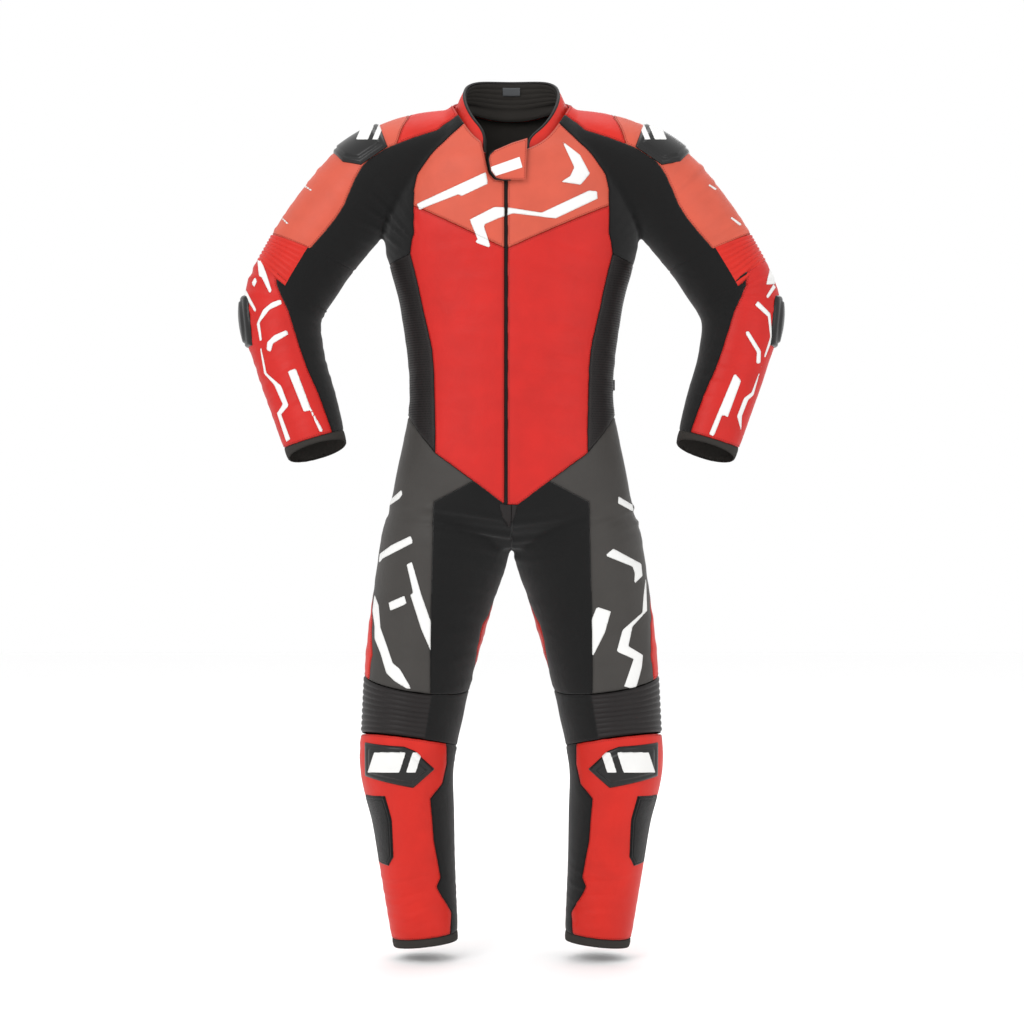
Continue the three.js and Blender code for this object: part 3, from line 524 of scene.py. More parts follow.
def shell(name: str, patch: Patch, finish: Finish, wall: float,
          inside: Finish | None = None) -> bpy.types.Object:
    """A closed wall under a patch.

    Args:
        name: The piece's name.
        patch: Its outside.
        finish: The outside's finish.
        wall: The thickness in metres, inwards.
        inside: The inner face's finish, if it differs.

    Returns:
        The new object.
    """
    count = len(patch.points)
    inner = patch.points - patch.normals() * wall
    rim = patch.rim()
    walls = np.concatenate([np.stack([rim[:, 1], rim[:, 0], rim[:, 0] + count], 1),
                            np.stack([rim[:, 1], rim[:, 0] + count, rim[:, 1] + count], 1)])
    faces = np.concatenate([patch.triangles, walls, patch.triangles[:, ::-1] + count])
    marks = np.zeros(len(faces), int)
    if inside:
        marks[len(patch.triangles) + len(walls):] = 1
    values = {k: np.concatenate([v, v]) for k, v in patch.values.items() if k == "seam"}
    values.setdefault("seam", np.full(2 * count, 0.01))
    return mesh_object(name, np.concatenate([patch.points, inner]), faces,
                       [finish, inside] if inside else [finish], marks, values)


# ------------------------------------------------------------------ repeated trims
class Trim:
    """A geometry node tree that repeats a small shape along lines or at points, or runs a cord along lines.

    Args:
        kind: One of stitch, tooth, hole or cord.
        finish: The finish of what it makes.
    """

    def __init__(self, kind: str, finish: Finish) -> None:
        """Builds the tree."""
        self.tree = bpy.data.node_groups.new(kind, "GeometryNodeTree")
        face = self.tree.interface
        face.new_socket("Geometry", in_out="INPUT", socket_type="NodeSocketGeometry")
        for name in ("Pitch", "Length", "Width"):
            face.new_socket(name, in_out="INPUT", socket_type="NodeSocketFloat")
        face.new_socket("Geometry", in_out="OUTPUT", socket_type="NodeSocketGeometry")
        nodes = Nodes(self.tree)
        given = nodes.add("NodeGroupInput").outputs
        if kind == "hole":
            made = self._holes(nodes, given)
        else:
            line = nodes.add("GeometryNodeMeshToCurve", {"Mesh": given["Geometry"]}).outputs[0]
            made = self._cord(nodes, given, line) if kind == "cord" else self._row(nodes, given, line, kind)
        real = nodes.add("GeometryNodeRealizeInstances", {"Geometry": made}).outputs[0]
        dressed = nodes.add("GeometryNodeSetMaterial",
                            {"Geometry": real, "Material": finish.build()}).outputs[0]
        nodes.add("NodeGroupOutput", {"Geometry": dressed})

    def _row(self, nodes: Nodes, given: object, line: object, kind: str) -> object:
        """Small shapes in a row along a line, turned to it."""
        spaced = nodes.add("GeometryNodeResampleCurve", {"Curve": line, "Length": given["Pitch"]},
                           mode="LENGTH")
        size = nodes.add("ShaderNodeCombineXYZ",
                         {"X": given["Width"], "Y": given["Width"], "Z": given["Length"]})
        if kind == "stitch":
            shape = nodes.add("GeometryNodeMeshIcoSphere", {"Radius": 0.5, "Subdivisions": 1}).outputs[0]
        else:
            shape = nodes.add("GeometryNodeMeshCube", {"Size": (1.0, 1.0, 1.0)}).outputs[0]
        run = nodes.add("GeometryNodeInputTangent").outputs[0]
        turn = nodes.add("FunctionNodeAlignRotationToVector", {"Vector": run}, axis="Z").outputs[0]
        return nodes.add("GeometryNodeInstanceOnPoints", {"Points": spaced.outputs[0], "Instance": shape,
                                                          "Rotation": turn, "Scale": size.outputs[0]}).outputs[0]

    def _cord(self, nodes: Nodes, given: object, line: object) -> object:
        """A round cord along a line."""
        spaced = nodes.add("GeometryNodeResampleCurve", {"Curve": line, "Length": given["Pitch"]},
                           mode="LENGTH")
        ring = nodes.add("GeometryNodeCurvePrimitiveCircle",
                         {"Resolution": 8, "Radius": given["Width"]}).outputs[0]
        return nodes.add("GeometryNodeCurveToMesh", {"Curve": spaced.outputs[0], "Profile Curve": ring,
                                                     "Fill Caps": True}).outputs[0]

    def _holes(self, nodes: Nodes, given: object) -> object:
        """A small disc at each point, square to the point's own direction."""
        facing = nodes.add("GeometryNodeInputNamedAttribute", {"Name": "facing"}, data_type="FLOAT_VECTOR")
        turn = nodes.add("FunctionNodeAlignRotationToVector", {"Vector": facing.outputs[0]},
                         axis="Z").outputs[0]
        disc = nodes.add("GeometryNodeMeshCircle", {"Vertices": 7, "Radius": given["Width"]},
                         fill_type="NGON").outputs[0]
        return nodes.add("GeometryNodeInstanceOnPoints", {"Points": given["Geometry"], "Instance": disc,
                                                          "Rotation": turn}).outputs[0]

    def grow(self, name: str, points: np.ndarray, edges: np.ndarray, pitch: float, length: float, width: float,
             facing: np.ndarray | None = None) -> bpy.types.Object:
        """Runs the tree on a wire of points and edges.

        Args:
            name: The piece's name.
            points: The wire's points.
            edges: Pairs of points.
            pitch: The spacing along the wire.
            length: The repeated shape's length.
            width: Its width, or the cord's radius.
            facing: The direction of each point, for holes.

        Returns:
            The plain mesh object it made.
        """
        wire = bpy.data.meshes.new(name + "_wire")
        wire.from_pydata(points.tolist(), edges.tolist(), [])
        if facing is not None:
            wire.attributes.new("facing", "FLOAT_VECTOR", "POINT").data.foreach_set(
                "vector", facing.astype(np.float32).ravel())
        source = bpy.data.objects.new(name + "_wire", wire)
        bpy.context.scene.collection.objects.link(source)
        modifier = source.modifiers.new("trim", "NODES")
        modifier.node_group = self.tree
        sizes = {"Pitch": pitch, "Length": length, "Width": width}
        for item in self.tree.interface.items_tree:
            if item.in_out == "INPUT" and item.name in sizes:
                modifier[item.identifier] = sizes[item.name]
        graph = bpy.context.evaluated_depsgraph_get()
        mesh = bpy.data.meshes.new_from_object(source.evaluated_get(graph))
        source.modifiers.clear()
        bpy.data.objects.remove(source)
        mesh.name = name
        made = bpy.data.objects.new(name, mesh)
        bpy.context.scene.collection.objects.link(made)
        return made


# ------------------------------------------------------------------ which part pieces belong to
def bend_of(zone: Zone) -> tuple[str, np.ndarray, np.ndarray] | None:
    """The body, start and end of a zone's bend, or None for the trunk."""
    if zone is Zone.TRUNK:
        return None
    side = Side.RIGHT if zone.value.endswith("right") else Side.LEFT
    if zone in (Zone.ARM_RIGHT, Zone.ARM_LEFT):
        return f"forearm_{side.label}", ARM.spot(side, 0.4725, 0, 0)[0], ARM.spot(side, 0.5775, 0, 0)[0]
    return f"shin_{side.label}", LEG.spot(side, 0.418, 0, 0)[0], LEG.spot(side, 0.545, 0, 0)[0]


def join_zone(obj: bpy.types.Object, zone: Zone) -> None:
    """Makes a piece ride the trunk, or bakes an arm or leg piece's place into its points."""
    bend = bend_of(zone)
    if bend is None:
        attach(obj, "suit_body")
    else:
        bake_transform(obj)


def limb_zone(limb: Limb, side: Side) -> Zone:
    """The zone of an arm or a leg."""
    return Zone[("ARM_" if limb is ARM else "LEG_") + side.name]


# ------------------------------------------------------------------ artwork
EYE = np.array([0.001, -4.232, -0.698])
ART_PLANE_Y = -0.072


def flat_from_front(points: np.ndarray) -> np.ndarray:
    """Points as the front view's camera, at EYE, sees them on a plane at the chest: x and z in mm."""
    share = (ART_PLANE_Y - EYE[1]) / (points[:, 1] - EYE[1])
    flat = EYE + (points - EYE) * share[:, None]
    return flat[:, [0, 2]] / MM


# These outlines copy a maker's graphics and were made by a converter script. They are not generic and need
# replacing, with NeckFlap.stripe. They are no example to follow.
ARTWORK: dict[Zone, list[list[tuple[float, float]]]] = {
    Zone.TRUNK: [
        [(-163, -168), (-44, -113), (-40, -133), (-87, -155), (-90, -151), (-159, -178)],
        [(-72, -195), (-29, -173), (-5, -174), (52, -183), (133, -145), (147, -146), (148, -159), (76, -193),
         (3, -184), (-21, -192), (-48, -204), (-35, -244), (-63, -234), (-58, -229)],
        [(87, -60), (118, -84), (135, -116), (119, -135), (85, -130), (101, -120), (108, -105)],
    ],
    Zone.ARM_RIGHT: [
        [(-438, -257), (-432, -261), (-421, -289), (-412, -318), (-416, -322), (-429, -295), (-434, -292)],
        [(-441, -294), (-437, -300), (-442, -311), (-447, -305)],
        [(-459, -311), (-438, -351), (-441, -354), (-459, -326)],
        [(-397, -332), (-395, -340), (-416, -350), (-433, -372), (-429, -402), (-432, -406), (-438, -374),
         (-427, -350), (-413, -338)],
        [(-387, -385), (-383, -392), (-410, -408), (-414, -423), (-421, -419), (-420, -406), (-408, -394)],
        [(-430, -416), (-421, -459), (-396, -481), (-383, -515), (-396, -530), (-380, -573), (-387, -577),
         (-403, -528), (-393, -513), (-408, -479), (-425, -460), (-432, -417)],
        [(-385, -456), (-371, -451), (-346, -518), (-324, -558), (-329, -562), (-347, -523), (-357, -526)],
        [(-360, -132), (-343, -144), (-345, -146), (-362, -135)],
        [(-397, -188), (-383, -202), (-386, -203), (-399, -190)],
    ],
    Zone.ARM_LEFT: [
        [(445, -276), (452, -292), (453, -306), (438, -307)],
        [(450, -307), (455, -311), (441, -331), (438, -327)],
        [(424, -335), (445, -356), (449, -400), (436, -433), (434, -431), (445, -397),
         (441, -362), (419, -342)],
        [(407, -385), (429, -421), (428, -442), (421, -443), (422, -423), (402, -390)],
        [(431, -444), (416, -497), (407, -505), (396, -533), (395, -560), (388, -533), (400, -502),
         (413, -492)],
        [(384, -459), (395, -472), (372, -535), (363, -530), (348, -568), (340, -564)],
        [(340, -134), (353, -142), (351, -145), (338, -136)],
        [(378, -190), (396, -203), (393, -206), (377, -193)],
    ],
    Zone.LEG_RIGHT: [
        [(-189, -660), (-187, -667), (-192, -675), (-211, -688), (-209, -678)],
        [(-173, -739), (-169, -751), (-221, -778), (-228, -787), (-226, -770), (-206, -755)],
        [(-180, -788), (-171, -784), (-155, -840), (-135, -897), (-135, -916), (-138, -939), (-155, -900),
         (-174, -840), (-169, -837)],
        [(-211, -854), (-184, -842), (-180, -856), (-208, -868)],
        [(-235, -840), (-228, -859), (-225, -897), (-214, -928), (-204, -958), (-192, -968), (-172, -1002),
         (-180, -1002), (-201, -989), (-215, -975), (-225, -941), (-235, -916), (-235, -894), (-239, -868)],
    ],
    Zone.LEG_LEFT: [
        [(184, -671), (208, -686), (210, -698), (183, -683)],
        [(175, -761), (223, -787), (225, -808), (211, -822), (212, -803), (208, -792), (161, -773)],
        [(231, -808), (233, -868), (208, -895), (201, -929), (226, -944), (224, -965), (214, -1004),
         (194, -998), (210, -951), (181, -938), (191, -901), (225, -871), (227, -842)],
        [(147, -861), (171, -869), (161, -905), (141, -945), (133, -942), (135, -891)],
    ],
}


GUSSET: list[tuple[float, float]] = [(-22, -684), (11, -684), (5, -708), (-4, -727), (-15, -708)]


# ------------------------------------------------------------------ the leather shell
@dataclass(frozen=True)
class Fold:
    """A run of soft creases round a limb: where, how far it spreads, how deep, how close, and facing where."""

    limb: Limb
    along: float
    spread: float
    depth: float
    pitch: float
    facing: float
    slant: float = 0.3


@dataclass(frozen=True)
class PanelKind:
    """What a panel is made of: finish, a slot name and whether it is stitched."""

    finish: Finish
    slot: str
    stitched: bool = True


PANELS = {
    "back_panel": PanelKind(RED, "red_leather"),
    "lumbar_stretch": PanelKind(BLACK, "accordion_leather", False),
    "seat_panel": PanelKind(RED, "red_leather"),
    "crotch_stretch": PanelKind(STRETCH, "stretch_fabric", False),
    "chest_panel": PanelKind(CORAL, "coral_leather"), "front_panel": PanelKind(CRIMSON, "crimson_leather"),
    "side_panel": PanelKind(PERFORATED, "perforated_leather"),
    "shoulder_yoke": PanelKind(RED, "red_leather"),
    "underarm_stretch": PanelKind(STRETCH, "stretch_fabric", False),
    "upper_sleeve": PanelKind(CORAL, "coral_leather"), "forearm_panel": PanelKind(CRIMSON, "crimson_leather"),
    "forearm_stretch": PanelKind(STRETCH, "stretch_fabric", False),
    "sleeve_cuff": PanelKind(LINING, "dark_lining", False),
    "thigh_panel": PanelKind(GREY, "grey_leather"), "shin_panel": PanelKind(RED, "red_leather"),
    "calf_stretch": PanelKind(STRETCH, "stretch_fabric", False),
    "leg_cuff": PanelKind(LINING, "dark_lining", False),
}
ARM_PARTS = ("upper_sleeve", "underarm_stretch", "forearm_panel", "forearm_stretch", "sleeve_cuff")
LEG_PARTS = ("thigh_panel", "crotch_stretch", "seat_panel", "shin_panel", "calf_stretch", "leg_cuff")


@dataclass
class LeatherShell:
    """The suit's outer shell: panels cut from one skin along the frame's seams."""

    voxel: float = 0.004
    wall: float = 0.0022
    reach: float = 0.016
    stitch_inset: float = 0.0032
    lines: dict[tuple[Zone, str], list[tuple[np.ndarray, np.ndarray]]] = field(default_factory=dict)
    kept: dict[str, Patch] = field(default_factory=dict)
    folds: tuple[Fold, ...] = (
        Fold(ARM, 0.55, 0.09, 0.0022, 0.019, -0.6), Fold(ARM, 0.28, 0.1, 0.0018, 0.03, -0.5, 0.7),
        Fold(ARM, 0.8, 0.12, 0.0012, 0.026, 0.0, 0.5), Fold(LEG, 0.49, 0.07, 0.0022, 0.02, 0.7),
        Fold(LEG, 0.05, 0.08, 0.0022, 0.034, -0.4, 0.9), Fold(LEG, 0.3, 0.14, 0.0012, 0.045, 0.0, 0.8),
        Fold(LEG, 0.88, 0.09, 0.0014, 0.025, 0.0, 0.4), Fold(TORSO, 0.38, 0.12, 0.0014, 0.04, 0.0, 1.6),
        Fold(TORSO, 0.62, 0.1, 0.0008, 0.05, -0.3, 2.1),
    )

    def _loft(self, limb: Limb, side: Side, rings: int, sides: int) -> tuple[np.ndarray, np.ndarray]:
        """A closed skin over a limb that runs on past its hem."""
        along = np.repeat(np.linspace(0, 1, rings), sides)
        turn = np.tile(np.arange(sides) * 2 * pi / sides, rings)
        grid = limb.skin(side, along, turn).reshape(rings, sides, 3)
        if not limb.upright:
            run = grid[-1].mean(0) - grid[-4].mean(0)
            grid = np.concatenate([grid, grid[-1:] + run / np.linalg.norm(run) * 0.02])
        patch = grid_patch(grid, around=True)
        points = np.concatenate([patch.points, grid[0].mean(0)[None], grid[-1].mean(0)[None]])
        ring = np.arange(sides)
        ahead, low, top = np.roll(ring, -1), len(points) - 2, len(points) - 1
        start = (len(grid) - 1) * sides
        caps = [np.stack([ahead, ring, np.full(sides, low)], 1),
                np.stack([ring + start, ahead + start, np.full(sides, top)], 1)]
        return points, np.concatenate([patch.triangles, *caps])

    def skin(self) -> Patch:
        """The whole wearer's shape as one smooth mesh."""
        parts = [self._loft(TORSO, Side.LEFT, 200, 180)]
        for side in Side:
            parts += [self._loft(ARM, side, 170, 110), self._loft(LEG, side, 200, 130)]
        count, points, faces = 0, [], []
        for p, f in parts:
            points.append(p)
            faces.append(f + count)
            count += len(p)
        raw = mesh_object("skin", np.concatenate(points), np.concatenate(faces), [])
        remesh = raw.modifiers.new("join", "REMESH")
        remesh.mode, remesh.voxel_size = "VOXEL", self.voxel
        mesh = bpy.data.meshes.new_from_object(raw.evaluated_get(bpy.context.evaluated_depsgraph_get()))
        raw.modifiers.clear()
        bpy.data.objects.remove(raw)
        mesh.calc_loop_triangles()
        points = np.zeros(len(mesh.vertices) * 3, np.float32)
        mesh.vertices.foreach_get("co", points)
        triangles = np.zeros(len(mesh.loop_triangles) * 3, np.int32)
        mesh.loop_triangles.foreach_get("vertices", triangles)
        patch = Patch(points.reshape(-1, 3).astype(float), triangles.reshape(-1, 3).astype(np.int64))
        bpy.data.meshes.remove(mesh)
        return self._largest(self._settle(patch))

    def _largest(self, patch: Patch) -> Patch:
        """The outer skin alone, when walls were left inside the join."""
        group = np.arange(len(patch.points))
        edges = np.concatenate([patch.triangles[:, [0, 1]], patch.triangles[:, [1, 2]]])
        while True:
            low = np.minimum(group[edges[:, 0]], group[edges[:, 1]])
            before = group.copy()
            np.minimum.at(group, edges[:, 0], low)
            np.minimum.at(group, edges[:, 1], low)
            group = group[group]
            if (group == before).all():
                break
        names, sizes = np.unique(group, return_counts=True)
        return patch.keep(group[patch.triangles[:, 0]] == names[sizes.argmax()])

    def _settle(self, patch: Patch) -> Patch:
        """Smooths the skin, and the creases where limbs join more than the rest."""
        edges = np.concatenate([patch.triangles[:, [0, 1]], patch.triangles[:, [1, 2]],
                                patch.triangles[:, [2, 0]]])
        edges = np.unique(np.sort(edges, 1), axis=0)
        both = np.concatenate([edges, edges[:, ::-1]])
        degree = np.bincount(both[:, 0], minlength=len(patch.points))[:, None]

        def mean(values: np.ndarray) -> np.ndarray:
            """The mean of each point's neighbours."""
            sums = [np.bincount(both[:, 0], values[both[:, 1], k], len(values))
                    for k in range(values.shape[1])]
            return np.stack(sums, 1) / degree

        for _ in range(4):
            patch.points = 0.5 * patch.points + 0.5 * mean(patch.points)
        bend = np.linalg.norm(mean(patch.points) - patch.points, axis=1)[:, None]
        crease = np.clip((bend - 0.00035) / 0.0006, 0, 1)
        for _ in range(10):
            crease = np.maximum(crease, 0.96 * mean(crease))
        for _ in range(28):
            patch.points += 0.6 * crease * (mean(patch.points) - patch.points)
        return patch

    def crease(self, patch: Patch) -> None:
        """Presses the folds into the skin."""
        normals, out = patch.normals(), np.zeros(len(patch.points))
        for fold in self.folds:
            sides = (Side.LEFT,) if fold.limb.upright else tuple(Side)
            for side in sides:
                keys = np.linspace(0, 1, 120)
                centre = fold.limb.spot(side, keys, np.zeros(120), np.zeros(120))
                near = (np.abs(patch.points[:, 0]) > -1 if fold.limb.upright
                        else patch.points[:, 0] * side.value > 0)
                place = np.where(near)[0]
                gaps = ((patch.points[place, None, :] - centre[None, ::4]) ** 2).sum(-1)
                along = keys[::4][gaps.argmin(1)]
                for _ in range(2):
                    ahead = fold.limb.spot(side, np.minimum(along + 0.01, 1), 0 * along, 0 * along)
                    here = fold.limb.spot(side, along, 0 * along, 0 * along)
                    run = ahead - here
                    step = ((patch.points[place] - here) * run).sum(1) / np.maximum((run * run).sum(1), 1e-12)
                    along = np.clip(along + 0.01 * np.clip(step, -4, 4), 0, 0.999)
                here = fold.limb.spot(side, along, 0 * along, 0 * along)
                size = fold.limb.at(along)[:, 4] * MM
                away = patch.points[place] - here
                within = np.exp(-np.maximum(np.linalg.norm(away, axis=1) / (1.9 * size) - 0.75, 0) ** 2 * 30)
                turn = np.arctan2(away[:, 1], away[:, 0] * side.value)
                length = np.linalg.norm(np.diff(centre, axis=0), axis=1).sum()
                phase = 2 * pi * along * length / fold.pitch + 2.4 * fold.slant * np.sin(turn + side.value)
                phase += 1.1 * np.sin(2.3 * turn + 9 * along + 1.7 * side.value)
                wave = 0.65 * np.sin(phase) + 0.35 * np.sin(1.83 * phase + 2 * np.sin(1.4 * turn))
                wave = np.where(wave > 0, wave, 0.6 * wave)
                swell = 0.55 + 0.45 * np.sin(2 * turn + 5 * along + side.value)
                mask = np.exp(-((along - fold.along) / fold.spread) ** 2)
                face = np.clip(1 + fold.facing * away[:, 1] / size, 0.15, 1.8)
                out[place] += fold.depth * mask * face * swell * wave * within
        patch.points += normals * out[:, None]

    def _openings(self, points: np.ndarray) -> np.ndarray:
        """How far points lie inside the neck, zip slot, cuffs and ankles; outside is negative."""
        hem = points / MM - NAPE
        half, deep = 96.0, 94.0
        x, y = hem[:, 0] / half, (hem[:, 1] + 18) / deep
        reach = np.maximum(np.hypot(x, y), 1e-6)
        back = y / reach
        above = hem[:, 2] - (NECK_Z - 12 + 58 * back - 42 * back**2)
        grow = np.interp(above, [-60, -9, 0, 90], [-25, 0.5, 0.5, 25])
        best = np.where(above > -60, (1 - reach) * 94 + grow, -50.0)
        front = hem[:, 1] < -20
        t = THROAT_Z
        slot = [(ZIP_X - 3, 760.5), (ZIP_X + 3, 760.5), (ZIP_X + 3, 1446), (ZIP_X - 3, 1446)]
        throat = [(ZIP_X + 3, t), (-28, t + 1), (-38, t + 12), (-53, t + 78), (-53, t + 120), (-6, t + 120)]
        for outline in (slot, throat):
            best = np.maximum(best, np.where(front, inside_depth(hem[:, [0, 2]], outline), -50.0))
        best *= MM
        for limb in (ARM, LEG):
            for side in Side:
                end = limb.spot(side, 1.0, 0, 0)[0]
                run = end - limb.spot(side, 0.985, 0, 0)[0]
                run /= np.linalg.norm(run)
                near = np.linalg.norm(points - end, axis=1) < 0.12
                best = np.maximum(best, np.where(near, (points - end) @ run, -1.0))
        return best

    def _scores(self, patch: Patch, nodes: dict) -> tuple[list[str], np.ndarray]:
        """How well each point belongs to each panel, zero for the nearest, and last to an opening."""
        names = sorted(n for n in nodes if n.rsplit("_", 1)[0] in PANELS or n in PANELS or "_stretch_" in n)
        far = 1.0
        gaps = np.full((len(patch.points), len(names)), far)
        for k, name in enumerate(names):
            mesh = nodes[name].data
            tree = BVHTree.FromPolygons([v.co for v in mesh.vertices],
                                        [tuple(p.vertices) for p in mesh.polygons])
            low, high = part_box(name)
            near = np.where(((patch.points > np.array(low) - self.reach)
                             & (patch.points < np.array(high) + self.reach)).all(1))[0]
            for i in near:
                found = tree.find_nearest(patch.points[i], 0.03)
                if found[0] is not None:
                    gaps[i, k] = found[3]
        least = gaps.min(1, keepdims=True)
        score = -np.sqrt(np.maximum(gaps**2 - least**2, 0))
        score = np.concatenate([score, self._openings(patch.points)[:, None]], 1)
        for name in ("seat_panel", "crotch_stretch"):
            k = names.index(name)
            whole = score[:, k].copy()
            score[:, k] = np.minimum(whole, -patch.points[:, 0])
            score = np.insert(score, len(names), np.minimum(whole, patch.points[:, 0]), axis=1)
            names[k] = name + "_right"
            names.append(name + "_left")
        return names, score

    def build(self, nodes: dict) -> None:
        """Makes every panel of the shell."""
        patch = self.skin()
        LOG.info("skin: %d points", len(patch.points))
        self.crease(patch)
        names, score = self._scores(patch, nodes)
        labels = score.argmax(1)
        ordered = np.partition(score, -2, axis=1)
        patch.values["seam"] = np.maximum(ordered[:, -1], 0) - ordered[:, -2]
        count = len(patch.points)
        cut, marks, _ = cut_by_label(patch, labels, score)
        cut.values["seam"][count:] = 0
        normals = cut.normals()
        cut.values.update({"nx": normals[:, 0], "ny": normals[:, 1], "nz": normals[:, 2]})
        for k, name in enumerate(names):
            plain = name.rsplit("_", 1)[0] if name.rsplit("_", 1)[-1] in ("right", "left") else name
            if plain in PANELS:
                self._panel(name, plain, cut.keep(marks == k))

    def _panel(self, name: str, plain: str, patch: Patch) -> None:
        """Makes one panel, with its stitch lines and white inlays."""
        kind = PANELS[plain]
        zone = Zone.TRUNK
        side = Side.RIGHT if name.endswith("right") else Side.LEFT
        if plain in ARM_PARTS:
            zone = limb_zone(ARM, side)
        elif plain in LEG_PARTS:
            zone = limb_zone(LEG, side)
        if plain == "lumbar_stretch":
            patch = self._finer(patch)
        normal = np.stack([patch.values["nx"], patch.values["ny"], patch.values["nz"]], 1)
        art = np.full(len(patch.points), -1.0)
        if kind.finish in (CORAL, CRIMSON, GREY) or plain == "crotch_stretch":
            flat = flat_from_front(patch.points)
            for outline in [GUSSET] if plain == "crotch_stretch" else ARTWORK[zone]:
                art = np.maximum(art, inside_depth(flat, outline) * MM)
            art = np.where(normal[:, 1] < 0.1, art, -1.0)
        patch.values["art"] = np.clip(art, -0.05, 1)
        stitches = np.zeros((0, 2), int)
        for level in (0.0015, self.stitch_inset, 0.005):
            if patch.values["seam"].max() > level:
                patch, line = patch.slice("seam", level)
                if level == self.stitch_inset and kind.stitched:
                    stitches = line
        normal = np.stack([patch.values["nx"], patch.values["ny"], patch.values["nz"]], 1)
        normal /= np.maximum(np.linalg.norm(normal, axis=1, keepdims=True), 1e-9)
        roll = np.interp(patch.values["seam"], [0, 0.0015, 0.005, 0.014], [-0.0017, -0.0005, 0.0, 0.0005])
        if plain == "lumbar_stretch":
            roll += (0.0018 * np.sin(2 * pi * patch.points[:, 2] / 0.0115)
                     * np.clip(patch.values["seam"] / 0.006, 0, 1))
        patch.points = patch.points + normal * roll[:, None]
        if len(stitches):
            tone = "thread_dark" if kind.finish in (GREY, PERFORATED) else "thread_red"
            self.lines.setdefault((zone, tone), []).append((patch.points + normal * 0.0002, stitches))
        if patch.values["art"].max() > 0.0005:
            patch = self._inlay(name, zone, patch, BLACK if plain == "crotch_stretch" else WHITE)
        if plain == "side_panel":
            self.kept[name] = patch
        obj = shell(name, patch, kind.finish, self.wall, LINING)
        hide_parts(name.rsplit("_", 1)[0] if plain in ("seat_panel", "crotch_stretch") else name)
        join_zone(obj, zone)
        LOG.info("panel %s: %d triangles", obj.name, len(obj.data.polygons))

    def _inlay(self, name: str, zone: Zone, patch: Patch, finish: Finish) -> Patch:
        """Cuts the inlays out of a panel and returns what is left of it."""
        marks = (patch.values["art"] > 0).astype(int)
        score = np.stack([-patch.values["art"], patch.values["art"]], 1)
        count = len(patch.points)
        cut, faces, _ = cut_by_label(patch, marks, score)
        cut.values["art"][count:] = 0
        white = cut.keep(faces == 1)
        white.points = white.points + white.normals() * np.interp(
            white.values["art"], [0, 0.0012], [0.0001, 0.0008])[:, None]
        white.values["seam"] = np.minimum(white.values["seam"], white.values["art"] + 0.001)
        obj = shell(name + "_inlay", white, finish, 0.0012)
        join_zone(obj, zone)
        return cut.keep(faces == 0)

    def _finer(self, patch: Patch) -> Patch:
        """Splits every triangle in four."""
        tri, count = patch.triangles, len(patch.points)
        edges = np.sort(np.concatenate([tri[:, [0, 1]], tri[:, [1, 2]], tri[:, [2, 0]]]), 1)
        keys, back = np.unique(edges @ np.array([count, 1]), return_inverse=True)
        a, b = keys // count, keys % count
        m = (back + count).reshape(3, -1)
        faces = [np.stack(f, 1) for f in ((tri[:, 0], m[0], m[2]), (m[0], tri[:, 1], m[1]),
                                          (m[2], m[1], tri[:, 2]), (m[0], m[1], m[2]))]
        values = {k: np.concatenate([v, (v[a] + v[b]) / 2]) for k, v in patch.values.items()}
        return Patch(np.concatenate([patch.points, (patch.points[a] + patch.points[b]) / 2]),
                     np.concatenate(faces), values)

    def stitch(self) -> None:
        """Sews the gathered stitch lines, one piece for each zone and thread."""
        trims = {"thread_red": Trim("stitch", THREAD_RED), "thread_dark": Trim("stitch", THREAD_DARK)}
        for (zone, tone), lines in self.lines.items():
            points, edges, count = [], [], 0
            for p, e in lines:
                used, back = np.unique(e, return_inverse=True)
                points.append(p[used])
                edges.append(back.reshape(-1, 2) + count)
                count += len(used)
            obj = trims[tone].grow(f"{zone.value}_{tone}", np.concatenate(points), np.concatenate(edges),
                                   0.0042, 0.0028, 0.0009)
            join_zone(obj, zone)
            LOG.info("stitches %s: %d triangles", obj.name, len(obj.data.polygons))


